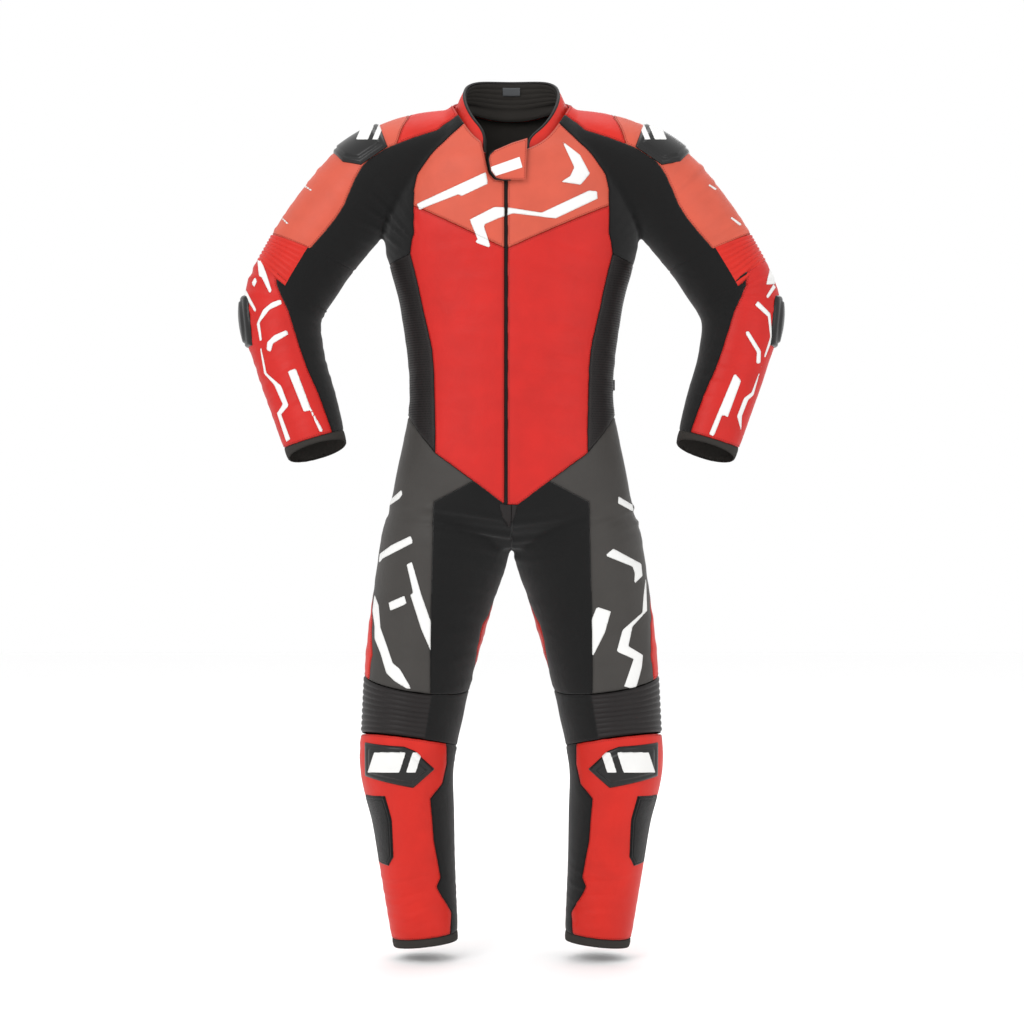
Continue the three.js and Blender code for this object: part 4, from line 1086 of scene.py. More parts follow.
# ------------------------------------------------------------------ accordion bands
@dataclass
class AccordionBand:
    """A ribbed band round an elbow or a knee, smooth where the stretch cloth runs through."""

    name: str
    limb: Limb
    side: Side
    top: float
    bottom: float
    top_lean: float
    bottom_lean: float
    ribs: int
    ribbed: Finish
    ribbed_from: float
    ribbed_to: float
    rows: int = 68
    sides: int = 176
    rib_height: float = 2.4

    def build(self) -> None:
        """Makes the band."""
        v = np.repeat(np.linspace(0, 1, self.rows), self.sides)
        turn = np.tile(np.arange(self.sides) * 2 * pi / self.sides, self.rows)
        lean = self.limb.rounded(np.cos(turn)) if self.limb is ARM else self.limb.rounded(np.sin(turn))
        gap = 0.0011
        start, end = self.top + self.top_lean * lean + gap, self.bottom + self.bottom_lean * lean - gap
        along = start + (end - start) * v
        centre, width = (self.ribbed_from + self.ribbed_to) / 2, (self.ribbed_to - self.ribbed_from) / 2
        off = np.abs((turn - centre + pi) % (2 * pi) - pi)
        share = np.clip((width - off) / 0.07, 0, 1)
        rib = np.abs(np.sin(pi * self.ribs * v)) ** 0.55 * self.rib_height - 1.2
        edge = np.clip(np.minimum(v, 1 - v) / 0.04, 0, 1)
        outset = (share * rib + (1 - share) * 0.4 * np.sin(5 * turn + 9 * v)) * edge - 1.6 * (1 - edge)
        points = self.limb.skin(self.side, along, turn, outset).reshape(self.rows, self.sides, 3)
        patch = grid_patch(points, around=True)
        if (patch.normals()[:200] * (points.reshape(-1, 3)[:200] - points[0].mean(0))).sum() < 0:
            patch.triangles = patch.triangles[:, ::-1]
        patch.values["seam"] = np.minimum(np.minimum(v, 1 - v) * 0.06, 0.2)
        obj = shell(self.name, patch, self.ribbed, 0.0015, STRETCH)
        marks = np.zeros(len(obj.data.polygons), np.int32)
        smooth = share[patch.triangles].mean(1) < 0.5
        marks[:len(smooth)][smooth] = 1
        marks[len(obj.data.polygons) - len(smooth):] = 1
        obj.data.polygons.foreach_set("material_index", marks)
        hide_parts(self.name)
        join_zone(obj, limb_zone(self.limb, self.side))
        LOG.info("band %s", obj.name)


# ------------------------------------------------------------------ cups and armour
@dataclass
class MouldedPlate:
    """A plate on a limb, cut to an outline of along and across, with a rolled edge."""

    name: str
    body: str
    limb: Limb
    side: Side
    outline: tuple[tuple[float, float], ...]
    from_y: float
    to_y: float
    base: float
    thickness: float
    finish: Finish
    slot: str
    edge: float = 6.0
    plateau: float = 0.0
    mark: tuple[tuple[tuple[float, float], ...], ...] = ()
    pad: bool = False
    sides: int = 220

    def _flat(self, points: tuple[tuple[float, float], ...]) -> list[tuple[float, float]]:
        """The outline as x and z."""
        table = np.array(points)
        corners = self.limb.spot(self.side, table[:, 0], table[:, 1], 0 * table[:, 0]) / MM - NAPE
        return [(x, z) for x, _, z in corners]

    def build(self) -> None:
        """Makes the plate and its plain mark."""
        alongs = [a for a, _ in self.outline]
        rows = max(int((max(alongs) - min(alongs) + 0.06) * 360), 60)
        v = np.repeat(np.linspace(min(alongs) - 0.03, max(alongs) + 0.03, rows), self.sides)
        turn = np.tile(np.arange(self.sides) * 2 * pi / self.sides, rows)
        patch = grid_patch(self.limb.skin(self.side, v, turn, self.base).reshape(rows, self.sides, 3),
                           around=True)
        centre = self.limb.spot(self.side, v, 0 * v, 0 * v)
        if ((patch.points - centre) * patch.normals()).sum() < 0:
            patch.triangles = patch.triangles[:, ::-1]
        hem = patch.points / MM - NAPE
        depth = inside_depth(hem[:, [0, 2]], self._flat(self.outline))
        depth = np.minimum(depth, np.minimum(self.to_y - hem[:, 1], hem[:, 1] - self.from_y))
        patch.values["depth"] = depth
        score = np.stack([-depth, depth], 1)
        count = len(patch.points)
        cut, faces, _ = cut_by_label(patch, (depth > 0).astype(int), score)
        cut.values["depth"][count:] = 0
        cut = cut.keep(faces == 1)
        for level in (0.6, 1.6, 3.0, self.edge):
            cut, _ = cut.slice("depth", level)
        d = cut.values["depth"]
        ease = np.sin(np.clip(d / self.edge, 0, 1) * pi / 2) ** 0.7
        rise = (self.thickness - self.plateau) * ease
        if self.plateau:
            rise += self.plateau * np.clip((d - self.edge * 1.7) / 2.2, 0, 1)
            rise -= 0.8 * np.exp(-((d - self.edge * 1.45) / 1.1) ** 2)
        cut.points = cut.points + cut.normals() * (rise * MM)[:, None]
        cut.values["seam"] = np.maximum(d * MM, 0.0)
        obj = shell(self.name, cut, self.finish, 0.0024 if not self.pad else 0.004)
        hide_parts(self.name)
        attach(obj, self.body)
        if self.mark:
            self._mark(cut)
        LOG.info("plate %s", obj.name)

    def _mark(self, cut: Patch) -> None:
        """Lays the plain mark on the plate."""
        flat = flat_from_front(cut.points)
        depth = np.full(len(flat), -1.0)
        for outline in self.mark:
            depth = np.maximum(depth, inside_depth(flat, list(outline)))
        depth = np.where(cut.normals()[:, 1] < 0.2, depth, -1.0)
        if depth.max() <= 0:
            return
        mark, faces, _ = cut_by_label(cut, (depth > 0).astype(int), np.stack([-depth, depth], 1))
        mark = mark.keep(faces == 1)
        mark.points = mark.points + mark.normals() * 0.0006
        obj = shell(self.name + "_mark", mark, WHITE, 0.0012)
        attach(obj, self.body)


# ------------------------------------------------------------------ cups, pads and patches
SHOULDER_CUP = ((0.165, 0.35), (0.235, 0.3), (0.262, 0.62), (0.262, 1.3), (0.16, 1.3))
ELBOW_CUP = ((0.612, 1.3), (0.612, 0.84), (0.655, 0.74), (0.7, 0.84), (0.7, 1.3))
KNEE_CUP = ((0.598, -0.62), (0.556, -0.18), (0.55, 0.05), (0.556, 0.88), (0.61, 0.88), (0.636, -0.15))
SHOULDER_PAD = ((0.17, 0.3), (0.29, 0.3), (0.29, 1.3), (0.17, 1.3))
ELBOW_PAD = ((0.615, 0.28), (0.715, 0.28), (0.715, 1.3), (0.615, 1.3))
KNEE_PAD = ((0.575, -0.55), (0.575, 0.55), (0.675, 0.5), (0.675, -0.5))
BACK_PLATE = ((0.44, -0.48), (0.78, -0.57), (0.83, -0.3), (0.83, 0.3), (0.78, 0.57), (0.44, 0.48), (0.34, 0.2),
              (0.34, -0.2))


def slanted_bars(side: Side, left: float, top: float, widths: tuple[float, ...], height: float,
                 gap: float) -> tuple[tuple[tuple[float, float], ...], ...]:
    """A plain row of slanted bars of unlike widths, given for the right side and mirrored for the left."""
    bars, x = [], left
    for width in widths:
        bar = ((x, top), (x + width, top), (x + width - 11, top - height), (x - 11, top - height))
        bars.append(tuple((-side.value * bx, z) for bx, z in bar))
        x += width + gap
    return tuple(bars)


def build_plates() -> None:
    """Makes the hard cups outside and the armour inside."""
    for side in Side:
        s = side.label
        shoulder_bars = slanted_bars(side, -256, -31, (20, 9), 26, 8)
        knee_bars = slanted_bars(side, -236, -1112, (54, 16), 34, 12)
        common = {"limb": ARM, "side": side}
        MouldedPlate(f"shoulder_cup_{s}", "suit_body", outline=SHOULDER_CUP, from_y=-150, to_y=70, base=0.5,
                     thickness=6.8, plateau=2.2, finish=CUP, slot="cup_plastic", mark=shoulder_bars,
                     **common).build()
        MouldedPlate(f"elbow_cup_{s}", f"forearm_{s}", outline=ELBOW_CUP, from_y=-90, to_y=90, base=0.5,
                     thickness=6.8, plateau=2.0, finish=CUP, slot="cup_plastic", **common).build()
        MouldedPlate(f"knee_cup_{s}", f"shin_{s}", LEG, side, KNEE_CUP, -150, -10, 0.5, 6.8, CUP, "cup_plastic",
                     plateau=2.6, mark=knee_bars).build()
        MouldedPlate(f"shoulder_armour_{s}", "suit_body", outline=SHOULDER_PAD, from_y=-145, to_y=66, base=-8.2,
                     thickness=4.4, finish=FOAM, slot="armour_foam", pad=True, **common).build()
        MouldedPlate(f"elbow_armour_{s}", f"forearm_{s}", outline=ELBOW_PAD, from_y=-145, to_y=86, base=-8.2,
                     thickness=4.4, finish=FOAM, slot="armour_foam", pad=True, **common).build()
        MouldedPlate(f"knee_armour_{s}", f"shin_{s}", LEG, side, KNEE_PAD, -145, -24, -8.2, 4.4, FOAM,
                     "armour_foam", pad=True).build()
        SliderPatch(side).build()
    MouldedPlate("back_protector", "suit_body", TORSO, Side.LEFT, BACK_PLATE, 40, 250, -12.0, 8.2, FOAM,
                 "armour_foam", edge=12.0, pad=True).build()


@dataclass
class SliderPatch:
    """The hook and loop panel on the outside of a shin, on which a knee slider sticks."""

    side: Side
    centre_along: float = 0.725
    centre_turn: float = -0.707
    outline: tuple[tuple[float, float], ...] = ((-27, 62), (24, 60), (27, 20), (20, -46), (6, -62), (-26, -58))
    height: float = 3.0

    def build(self) -> None:
        """Makes the panel with its stitched edge."""
        u, w = np.meshgrid(np.linspace(-30, 30, 70), np.linspace(66, -66, 140))
        flat = np.stack([u.ravel(), w.ravel()], 1)
        along, turn = self.centre_along - flat[:, 1] / 757, self.centre_turn - flat[:, 0] / 70
        depth = inside_depth(flat, list(self.outline))
        rise = 0.6 + self.height * np.sin(np.clip(depth / 3.5, 0, 1) * pi / 2)
        rise -= 0.9 * np.exp(-((depth - 5.0) / 0.8) ** 2)
        patch = grid_patch(LEG.skin(self.side, along, turn, rise).reshape(*u.shape, 3))
        patch.values["depth"] = depth
        if patch.normals()[len(flat) // 2, 1] > 0:
            patch.triangles = patch.triangles[:, ::-1]
        cut, faces, _ = cut_by_label(patch, (depth > 0).astype(int), np.stack([-depth, depth], 1))
        cut = cut.keep(faces == 1)
        cut.values["seam"] = np.maximum(cut.values["depth"] * MM, 0)
        name = f"slider_patch_{self.side.label}"
        obj = shell(name, cut, LOOP, 0.0025)
        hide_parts(name)
        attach(obj, f"shin_{self.side.label}")
        LOG.info("patch %s", obj.name)


@dataclass
class AeroHump:
    """The hump behind the neck: a padded leather shell with two grooved seams."""

    half: tuple[float, float, float] = (82.0, 61.5, 117.5)
    groove: float = 40.0

    def build(self) -> None:
        """Makes the hump."""
        at = TORSO.spot(Side.LEFT, 0.82, 0, 1)[0] / MM - NAPE
        u, v = np.meshgrid(np.linspace(0, 2 * pi, 160, endpoint=False), np.linspace(0.02, pi - 0.02, 110))
        ball = np.stack([np.sin(v) * np.cos(u), np.sin(v) * np.sin(u), np.cos(v)], -1).reshape(-1, 3)
        points = ball * np.array(self.half)
        groove = np.exp(-((np.abs(points[:, 0]) - self.groove * (0.75 + 0.25 * ball[:, 2] ** 2)) / 1.6) ** 2)
        points -= ball * (1.5 * groove)[:, None]
        lean = 0.1
        points = np.stack([points[:, 0], points[:, 1] * np.cos(lean) + points[:, 2] * np.sin(lean),
                           points[:, 2] * np.cos(lean) - points[:, 1] * np.sin(lean)], 1)
        points += np.array([0, at[1] - 14, at[2]])
        along = (points[:, 2] - 686) / TORSO_LENGTH
        size = TORSO.at(np.clip(along, 0, 1))
        inward = np.clip(1 - np.abs(points[:, 0] / size[:, 3]) ** 2.3, 0, 1) ** (1 / 2.3)
        depth = points[:, 1] - (size[:, 1] + size[:, 4] * inward)
        patch = grid_patch(((points + NAPE) * MM).reshape(*u.shape, 3), around=True)
        if ((patch.points - patch.points.mean(0)) * patch.normals()).sum() < 0:
            patch.triangles = patch.triangles[:, ::-1]
        patch.values["depth"] = depth
        cut, faces, _ = cut_by_label(patch, (depth > -1).astype(int), np.stack([-depth - 1, depth + 1], 1))
        cut = cut.keep(faces == 1)
        cut.values["seam"] = np.clip(cut.values["depth"] * MM, 0.0, 0.02)
        obj = shell("aero_hump", cut, RED, 0.0025, LINING)
        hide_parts("aero_hump")
        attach(obj, "suit_body")
        LOG.info("hump %s", obj.name)


# ------------------------------------------------------------------ collar and flap
@dataclass
class Collar:
    """The stand-up collar: a leather outside, a ribbed lining and a bound edge."""

    base: tuple[float, ...] = (96.0, 94.0, 4.0, -12.0, -112.0)
    top: tuple[float, ...] = (83.0, 80.0, 50.0, 16.0, -75.0)
    ends: tuple[float, float] = (28.0, -45.0)
    corner: float = 16.0
    flare: float = 5.0
    rows: int = 40
    columns: int = 220

    def _heights(self) -> np.ndarray:
        """The rows' shares of the height; the first lie below the neck seam."""
        return np.concatenate([[-0.45, -0.3, -0.15], np.linspace(0, 1, self.rows - 3)])

    def _grid(self, grow: float, trim: float, ribs: float) -> np.ndarray:
        """Points of the collar at a growth, rows from base to top, columns from the left end to the right."""
        u, v = np.meshgrid(np.linspace(0, 1, self.columns), self._heights())
        arc = 430.0
        gap = np.minimum(u, 1 - u) * arc
        drop = np.where(gap < self.corner, self.corner - np.sqrt(
            np.maximum(self.corner**2 - (self.corner - gap) ** 2, 0)), 0)
        v = v * (1 - drop / 46)
        back, side, front = (b + (t - b) * v for b, t in zip(self.base[2:], self.top[2:]))
        half, deep = (b + (t - b) * np.maximum(v, 0) for b, t in zip(self.base[:2], self.top[:2]))
        wide = half + grow + self.flare * np.clip(1 - v / 0.2, 0, 1) ** 2
        left = -np.arccos((self.ends[0] + trim * -1) / wide)
        right = pi + np.arccos((-self.ends[1] - trim) / wide)
        turn = left + (right - left) * u
        unit = np.sin(turn)
        slope, bend = (back - front) / 2, (back + front) / 2 - side
        rib = ribs * np.abs(np.sin(v * pi * 5)) if ribs else 0.0
        belly = 1.2 * np.sin(pi * np.clip(v, 0, 1))
        x = (wide + belly - rib) * np.cos(turn)
        y = -18 + (deep + grow + belly - rib) * unit
        z = NECK_Z + side + slope * unit + bend * unit**2 - trim * np.clip(v, 0, 1)
        return (np.stack([x, y, z], -1) + NAPE) * MM

    def build(self) -> None:
        """Makes the collar, its lining, its binding and the label."""
        for name, grow, trim, ribs, finish, slot, wall in (
                ("collar", -0.6, 0.0, 0.0, RED, "red_leather", 0.0032),
                ("collar_lining", -4.6, 3.0, 1.0, LINING, "dark_lining", 0.0014)):
            grid = self._grid(grow, trim, ribs)
            patch = grid_patch(grid)
            middle = len(patch.points) // 2
            centre = np.array([0, -0.094, patch.points[middle, 2]])
            if (patch.normals()[middle] * (patch.points[middle] - centre)).sum() < 0:
                patch.triangles = patch.triangles[:, ::-1]
            patch.values["seam"] = np.repeat((1 - self._heights()) * 0.04 + 0.001, self.columns)
            obj = shell(name, patch, finish, wall, LINING)
            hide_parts(name)
            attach(obj, "suit_body")
            LOG.info("collar piece %s", obj.name)
        self._bind()
        self._label()

    def _bind(self) -> None:
        """Runs the black binding round the collar's free edge."""
        grid = self._grid(-2.4, 0.0, 0.0)
        edge = np.concatenate([grid[3:-1, 0], grid[-1], grid[3:-1, -1][::-1]])
        edge = edge + np.array([0, 0, -0.001])
        pairs = np.stack([np.arange(len(edge) - 1), np.arange(1, len(edge))], 1)
        obj = Trim("cord", BLACK).grow("collar_binding", edge, pairs, 0.003, 0.0, 0.0028)
        obj.data.shade_smooth()
        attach(obj, "suit_body")
        seam = self._grid(1.2, 0.0, 0.0)[3]
        piping = Trim("cord", RED).grow("collar_piping", seam, pairs[:len(seam) - 1], 0.003, 0.0, 0.0026)
        piping.data.shade_smooth()
        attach(piping, "suit_body")

    def _label(self) -> None:
        """Sews a plain woven label inside the back of the neck."""
        half_width, inset, low, high = 15.0, 8.0, 0.5, 0.8
        u, v = np.meshgrid(np.linspace(-half_width, half_width, 16), np.linspace(low, high, 8))
        half, deep, back, *_ = (b + (t - b) * v for b, t in zip(self.base, self.top))
        y = -18 + (deep - inset) * np.sqrt(1 - (u / half) ** 2)
        grid = (np.stack([u, y, NECK_Z + back], -1) + NAPE) * MM
        patch = grid_patch(grid)
        if patch.normals()[60, 1] > 0:
            patch.triangles = patch.triangles[:, ::-1]
        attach(shell("neck_label", patch, LABEL, 0.0006), "suit_body")


def on_front(x: np.ndarray, z: np.ndarray, outset: np.ndarray | float) -> np.ndarray:
    """Points on the torso's front at x and z in millimetres above the hem, raised by an outset."""
    size = TORSO.at(np.ravel(z - 686) / TORSO_LENGTH)
    flat_x = np.ravel(x)
    share = np.clip(1 - np.abs(flat_x / (size[:, 3] + outset)) ** 2.3, 0, 1) ** (1 / 2.3)
    y = size[:, 1] - (size[:, 4] + outset) * share
    return (np.stack([flat_x, y, np.ravel(z)], 1) + NAPE) * MM


@dataclass
class NeckFlap:
    """The flap over the top of the front zip, with its bound edge and white inlay."""

    outline: tuple[tuple[float, float], ...] = (
        (36, 72), (10, 63), (-20, 49), (-27, 42), (-29, 34), (-26, 14), (-17, 2), (-6, -1), (33, -1))
    stripe: tuple[tuple[float, float], ...] = ((-40, -106), (14, -87), (19, -105), (-40, -124))

    def build(self) -> None:
        """Makes the flap."""
        x, z = np.meshgrid(np.linspace(-32, 38, 80), np.linspace(-4, 75, 90))
        flat = np.stack([x.ravel(), z.ravel()], 1)
        depth = inside_depth(flat, list(self.outline))
        rise = (8.4 + 1.2 * np.sin(np.clip(depth / 3, 0, 1) * pi / 2)
                + 0.35 * np.sin(flat[:, 1] / 9 + flat[:, 0] / 14))
        patch = grid_patch(on_front(ZIP_X + x, THROAT_Z + z, rise).reshape(*x.shape, 3))
        if patch.normals()[len(flat) // 2, 1] > 0:
            patch.triangles = patch.triangles[:, ::-1]
        patch.values["depth"] = depth
        cut, faces, _ = cut_by_label(patch, (depth > 0).astype(int), np.stack([-depth, depth], 1))
        cut = cut.keep(faces == 1)
        cut.values["seam"] = np.maximum(cut.values["depth"], 0) * MM
        cut, line = cut.slice("seam", 0.003)
        stitches = Trim("stitch", THREAD_RED).grow("neck_flap_stitches", cut.points + cut.normals() * 0.0002,
                                                   line, 0.0042, 0.0028, 0.0009)
        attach(stitches, "neck_flap")
        art = inside_depth(flat_from_front(cut.points), list(self.stripe))
        art = np.minimum(art, (cut.values["seam"] - 0.002) / MM)
        marks, faces, _ = cut_by_label(cut, (art > 0).astype(int), np.stack([-art, art], 1))
        white = marks.keep(faces == 1)
        white.points = white.points + white.normals() * 0.0004
        for name, part, finish in (("neck_flap", marks.keep(faces == 0), CORAL),
                                   ("neck_flap_inlay", white, WHITE)):
            obj = shell(name, part, finish, 0.0014, LINING)
            if name == "neck_flap":
                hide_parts(name)
            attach(obj, "neck_flap")
        left = np.array([*self.outline[2:8], (10, -1)], float)
        steps = np.concatenate([np.linspace(a, b, 8, endpoint=False) for a, b in zip(left[:-1], left[1:])])
        edge = on_front(ZIP_X + steps[:, 0], THROAT_Z + steps[:, 1], 8.6)
        pairs = np.stack([np.arange(len(edge) - 1), np.arange(1, len(edge))], 1)
        obj = Trim("cord", BLACK).grow("neck_flap_binding", edge, pairs, 0.003, 0.0, 0.0011)
        obj.data.shade_smooth()
        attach(obj, "neck_flap")


# ------------------------------------------------------------------ zips
def pebble(centre: np.ndarray, axes: np.ndarray, half: tuple[float, float, float], square: float) -> Patch:
    """A closed block with rounded faces: half sizes along three axes, squarer with a higher number."""
    u, v = np.meshgrid(np.linspace(0, 2 * pi, 40, endpoint=False), np.linspace(0.001, pi - 0.001, 22))

    def eased(value: np.ndarray) -> np.ndarray:
        """A sine or cosine pushed out towards a square."""
        return np.sign(value) * np.abs(value) ** (2 / square)

    local = np.stack([eased(np.sin(v)) * eased(np.cos(u)), eased(np.sin(v)) * eased(np.sin(u)),
                      eased(np.cos(v))], -1)
    points = centre + (local.reshape(-1, 3) * np.array(half)) @ axes
    patch = grid_patch(points.reshape(*u.shape, 3), around=True)
    ring, count = np.arange(40), len(patch.points)
    last = count - 40
    caps = [np.stack([np.roll(ring, -1), ring, np.full(40, count)], 1),
            np.stack([ring + last, np.roll(ring, -1) + last, np.full(40, count + 1)], 1)]
    ends = np.stack([points[:40].mean(0), points[-40:].mean(0)])
    patch = Patch(np.concatenate([points, ends]), np.concatenate([patch.triangles, *caps]))
    if ((patch.points - centre) * patch.normals()).sum() < 0:
        patch.triangles = patch.triangles[:, ::-1]
    return patch


def ring_plate(top: np.ndarray, axes: np.ndarray, half_width: float, height: float, thickness: float) -> Patch:
    """A flat zip pull with a hole: axes are across, out and up; it hangs down from its top."""
    turn = np.linspace(0, 2 * pi, 48, endpoint=False)
    outer = np.stack([half_width * np.cos(turn), 0 * turn, height / 2 * np.sin(turn)], 1)
    outer[:, [0, 2]] *= (np.abs(np.cos(turn)) ** 5 + np.abs(np.sin(turn)) ** 5)[:, None] ** -0.2
    outer[:, 0] *= 0.8 - 0.2 * np.sin(turn)
    hole = np.stack([0.45 * half_width * np.cos(turn), 0 * turn, 0.22 * height * np.sin(turn) - 0.12 * height], 1)
    deep = np.array([0, thickness / 2, 0])
    rounds = [hole - deep, outer * 0.93 - deep, outer - 0.4 * deep, outer + 0.4 * deep, outer * 0.93 + deep,
              hole + deep, hole - deep]
    grid = np.stack([top - np.array([0, 0, height / 2]) @ axes + r @ axes for r in rounds])
    patch = grid_patch(grid, around=True)
    count = 48
    patch.triangles = np.where(patch.triangles >= 6 * count, patch.triangles - 6 * count, patch.triangles)
    patch.points = patch.points[:6 * count]
    if (patch.normals()[:count] @ axes[1]).mean() > 0:
        patch.triangles = patch.triangles[:, ::-1]
    return patch


def strip(line: np.ndarray, wide: np.ndarray, out: np.ndarray, half: float, thickness: float) -> Patch:
    """A closed flat tape along a line, as wide and thick as given."""
    corners = [wide * half + out * thickness, wide * half, -wide * half, -wide * half + out * thickness]
    grid = np.stack([line + c for c in corners], 1)
    patch = grid_patch(grid, around=True)
    last = len(patch.points) - 4
    patch.triangles = np.concatenate([patch.triangles, [[0, 2, 1], [0, 3, 2]],
                                      [[last, last + 1, last + 2], [last, last + 2, last + 3]]])
    middle = len(line) // 2 * 4
    if (patch.normals()[middle] @ (out if out.ndim == 1 else out[len(line) // 2])) < 0:
        patch.triangles = patch.triangles[:, ::-1]
    return patch


def plain_piece(name: str, patch: Patch, finish: Finish, body: str,
                node: str | None = None) -> bpy.types.Object:
    """A closed piece that rides one body."""
    obj = mesh_object(name, patch.points, patch.triangles, [finish],
                      values={"seam": np.full(len(patch.points), 0.01)})
    if node:
        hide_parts(node)
    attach(obj, body)
    return obj


@dataclass
class FrontZip:
    """The front zip: tape, two rows of teeth, slider and pull."""

    high: float = 1338.0
    tape_half: float = 12.5
    hidden: float = 5.0
    pitch: float = 0.003

    def build(self) -> None:
        """Makes the zip."""
        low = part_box("front_zip")[0][2] / MM + NECK_Z - self.hidden
        z = np.linspace(low, self.high, 120)
        line = (np.stack([0 * z + ZIP_X, 0 * z + FRONT_Y + 5.8, z], 1) + NAPE) * MM
        tape = strip(line, np.array([1.0, 0, 0]), np.array([0, -1.0, 0]), self.tape_half * MM, 0.0012)
        plain_piece("front_zip", tape, LINING, "suit_body", "front_zip")
        teeth = Trim("tooth", BLACK)
        for k, shift in enumerate((-0.0011, 0.0011)):
            row = line[:, :] + np.array([shift, -0.0022, k * self.pitch / 2])
            pairs = np.stack([np.arange(len(row) - 1), np.arange(1, len(row))], 1)
            obj = teeth.grow(f"front_zip_teeth_{'ab'[k]}", row, pairs, self.pitch, 0.0013, 0.0026)
            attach(obj, "suit_body")
        for node in ("front_zip_slider", "front_zip_pull"):
            low, high = (np.array(c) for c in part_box(node))
            if node.endswith("slider"):
                patch = pebble((low + high) / 2, np.eye(3), tuple((high - low) / 2), 4.5)
            else:
                top = np.array([(low[0] + high[0]) / 2, (low[1] + high[1]) / 2, high[2]])
                patch = ring_plate(top, np.eye(3), (high[0] - low[0]) / 2, high[2] - low[2], high[1] - low[1])
            plain_piece(node, patch, METAL, node, node)
        LOG.info("front zip")


@dataclass
class SmallZip:
    """A cuff or calf zip: tape and teeth along the back seam, and a slider with its pull."""

    node: str
    body: str
    limb: Limb
    side: Side
    across: float
    low: float
    high: float
    top: float

    def build(self) -> None:
        """Makes the zip."""
        deep = (1 - self.across**2) ** 0.5
        along = np.linspace(0.975, self.top, 60)
        one = np.ones(60)
        line = self.limb.spot(self.side, along, self.across * one, deep * one, 0.4)
        centre = self.limb.spot(self.side, along, 0 * one, 0 * one)
        run = np.gradient(line, axis=0)
        run /= np.linalg.norm(run, axis=1, keepdims=True)
        out = line - centre
        out -= run * (out * run).sum(1, keepdims=True)
        out /= np.linalg.norm(out, axis=1, keepdims=True)
        wide = np.cross(out, run)
        plain_piece(f"{self.node}_tape", strip(line, wide, out, 0.009, 0.0008), LINING, self.body)
        pairs = np.stack([np.arange(59), np.arange(1, 60)], 1)
        teeth = Trim("tooth", BLACK)
        for k in (0, 1):
            row = line + out * 0.0011 + wide * (0.001 if k else -0.001) + run * (0.0014 * k)
            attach(teeth.grow(f"{self.node}_teeth_{'ab'[k]}", row, pairs, 0.0028, 0.0012, 0.0023), self.body)
        start = self.limb.spot(self.side, self.low, self.across, deep, 5.0)[0]
        end = self.limb.spot(self.side, self.high, self.across, deep, 5.0)[0]
        up = (end - start) / np.linalg.norm(end - start)
        away = start - self.limb.spot(self.side, self.low, 0, 0)[0]
        away -= up * (away @ up)
        away /= np.linalg.norm(away)
        axes = np.stack([np.cross(away, up), away, up])
        plain_piece(self.node, pebble(start, axes, (0.004, 0.002, 0.006), 4.0), METAL, self.node,
                    self.node)
        pull = ring_plate(start - up * 0.0045 + away * 0.0024, axes, 0.0028, 0.017, 0.0011)
        plain_piece(f"{self.node}_pull", pull, METAL, self.node)
        LOG.info("zip %s", self.node)


def build_zips() -> None:
    """Makes every zip."""
    FrontZip().build()
    for side in Side:
        s = side.label
        SmallZip(f"cuff_zip_slider_{s}", f"forearm_{s}", ARM, side, -0.5, 0.94, 0.76, 0.75).build()
        SmallZip(f"calf_zip_slider_{s}", f"shin_{s}", LEG, side, -0.25, 0.95, 0.84, 0.66).build()


def build_side_tag() -> None:
    """Sews a small folded tag at the left of the waist."""
    root = TORSO.spot(Side.LEFT, 0.38, 0.985, 0.12)[0]
    line = root + np.linspace(0, 1, 12)[:, None] * np.array([0.0, 0.0, -0.018])
    patch = strip(line, np.array([1.0, 0.0, 0.0]), np.array([0, -1.0, 0]), 0.006, 0.0018)
    plain_piece("waist_tag", patch, BLACK, "suit_body")


def punch_side_panels(leather: LeatherShell) -> None:
    """Lays rows of near-black discs on the side panels, painted shade for the punched holes' dark inside."""
    for side in Side:
        patch = leather.kept[f"side_panel_{side.label}"]
        tree = KDTree(len(patch.points))
        for i, p in enumerate(patch.points):
            tree.insert(p, i)
        tree.balance()
        normals, spots, facing = patch.normals(), [], []
        for row, along in enumerate(np.arange(0.2, 0.68, 0.0055)):
            turns = np.arange(-1.1, 0.6, 0.026) + (row % 2) * 0.013
            for p in TORSO.skin(side, np.full(len(turns), along), turns):
                _, i, gap = tree.find(p)
                if gap < 0.006 and patch.values["seam"][i] > 0.006:
                    n = normals[i]
                    spots.append(p + n * (((patch.points[i] - p) * n).sum() + 0.00015))
                    facing.append(n)
        if spots:
            obj = Trim("hole", HOLE_SHADE).grow(f"side_holes_{side.label}", np.array(spots),
                                          np.zeros((0, 2), int), 0.0, 0.0,
                                          0.0009, np.array(facing))
            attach(obj, "suit_body")
            LOG.info("holes: %d", len(spots))


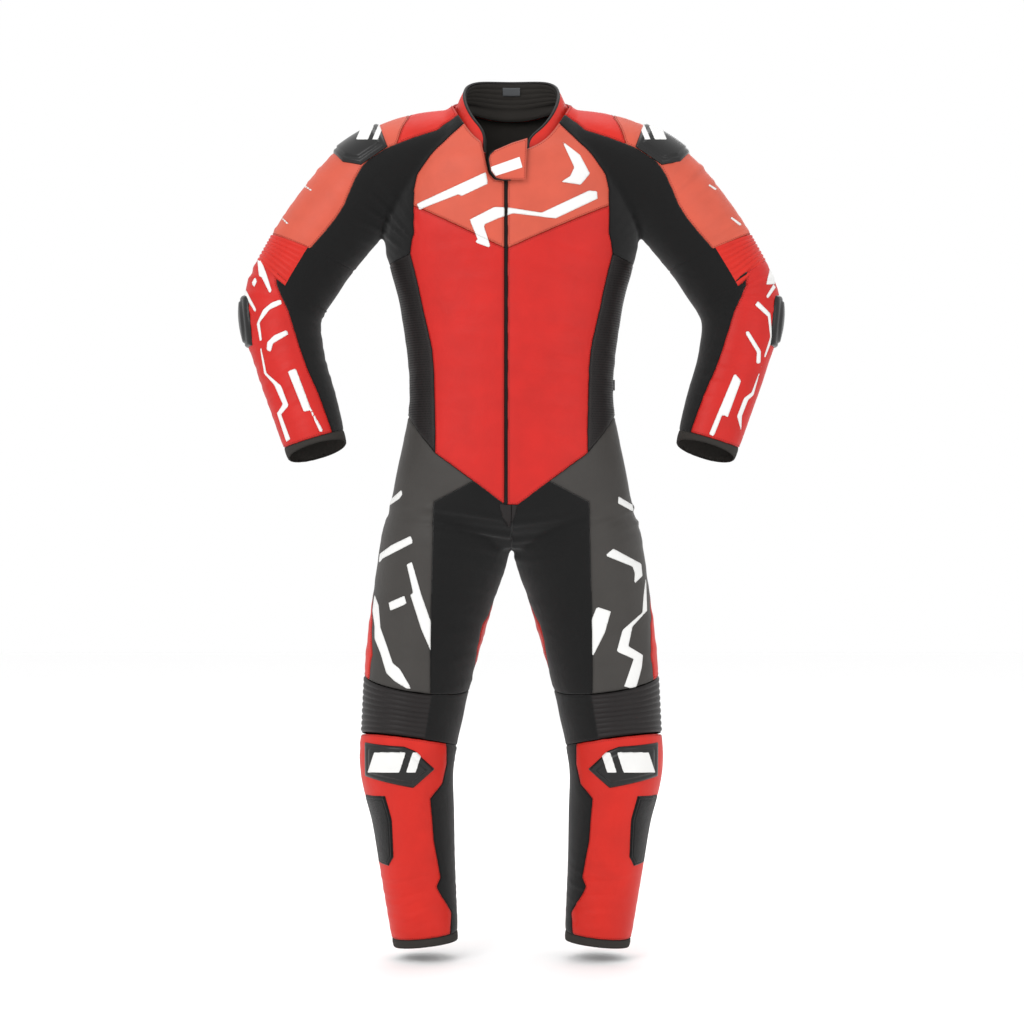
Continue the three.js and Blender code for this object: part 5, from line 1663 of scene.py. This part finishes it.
# ------------------------------------------------------------------ studio
@dataclass(frozen=True)
class Studio:
    """A pale floor, a white world, soft lights and a camera in front."""

    distance: float = 4.16
    height: float = -0.698
    lens: float = 85.0

    def camera(self) -> None:
        """Adds the camera."""
        data = bpy.data.cameras.new("front_camera")
        data.lens, data.sensor_width = self.lens, 36.0
        bpy.context.scene.view_settings.view_transform = "Standard"
        camera = bpy.data.objects.new("front_camera", data)
        camera.location = (0.001, ART_PLANE_Y - self.distance, self.height)
        camera.rotation_euler = (pi / 2, 0, 0)
        bpy.context.scene.collection.objects.link(camera)
        bpy.context.scene.camera = camera

    def _light(self, name: str, place: tuple[float, float, float], size: float, power: float) -> None:
        """Adds one soft square light that faces the suit."""
        data = bpy.data.lights.new(name, "AREA")
        data.shape, data.size, data.energy = "SQUARE", size, power
        light = bpy.data.objects.new(name, data)
        light.location = place
        aim = Vector((0, 0, -0.7)) - Vector(place)
        light.rotation_euler = aim.to_track_quat("-Z", "Y").to_euler()
        bpy.context.scene.collection.objects.link(light)

    def build(self) -> None:
        """Adds the floor, the world and the lights."""
        world = bpy.data.worlds.new("studio")
        bpy.context.scene.world = world
        world.use_nodes = True
        world.node_tree.nodes["Background"].inputs["Color"].default_value = (1, 1, 1, 1)
        world.node_tree.nodes["Background"].inputs["Strength"].default_value = 1.0
        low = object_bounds()[0][2] - 0.02
        floor = mesh_object("studio_floor",
                            np.array([[-9, -9, low], [9, -9, low], [9, 9, low], [-9, 9, low]], float),
                            np.array([[0, 1, 2, 3]]), [])
        paint = bpy.data.materials.new("floor_paint")
        paint.use_nodes = True
        shader = paint.node_tree.nodes["Principled BSDF"]
        shader.inputs["Base Color"].default_value = (0.98, 0.98, 0.98, 1)
        shader.inputs["Roughness"].default_value = 0.9
        floor.data.materials.append(paint)
        floor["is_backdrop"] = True
        self._light("key_light", (-2.2, -3.4, 1.6), 2.2, 62)
        self._light("fill_light", (2.6, -3.2, 0.6), 2.4, 22)
        self._light("top_light", (0.0, 0.6, 2.6), 2.0, 24)
        self._light("back_light", (0.5, 3.6, 0.4), 2.4, 30)


def build_bands() -> None:
    """Makes the elbow and knee bands."""
    for side in Side:
        AccordionBand(f"elbow_stretch_{side.label}", ARM, side, 0.4725, 0.5775, 0.0175, -0.0225, 8, RED,
                      -0.5 * pi, 0.9 * pi).build()
        AccordionBand(f"knee_stretch_{side.label}", LEG, side, 0.418, 0.545, -0.014, 0.015, 9, BLACK,
                      -0.62 * pi, 0.35 * pi, rows=84).build()


def main() -> None:
    """Dresses the frame piece by piece."""
    logging.basicConfig(level=logging.INFO)
    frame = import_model()
    studio = Studio()
    studio.camera()
    leather = LeatherShell()
    leather.build(frame["nodes"])
    leather.stitch()
    build_bands()
    build_plates()
    AeroHump().build()
    Collar().build()
    NeckFlap().build()
    build_zips()
    build_side_tag()
    punch_side_panels(leather)
    studio.build()


if __name__ == "__main__":
    main()
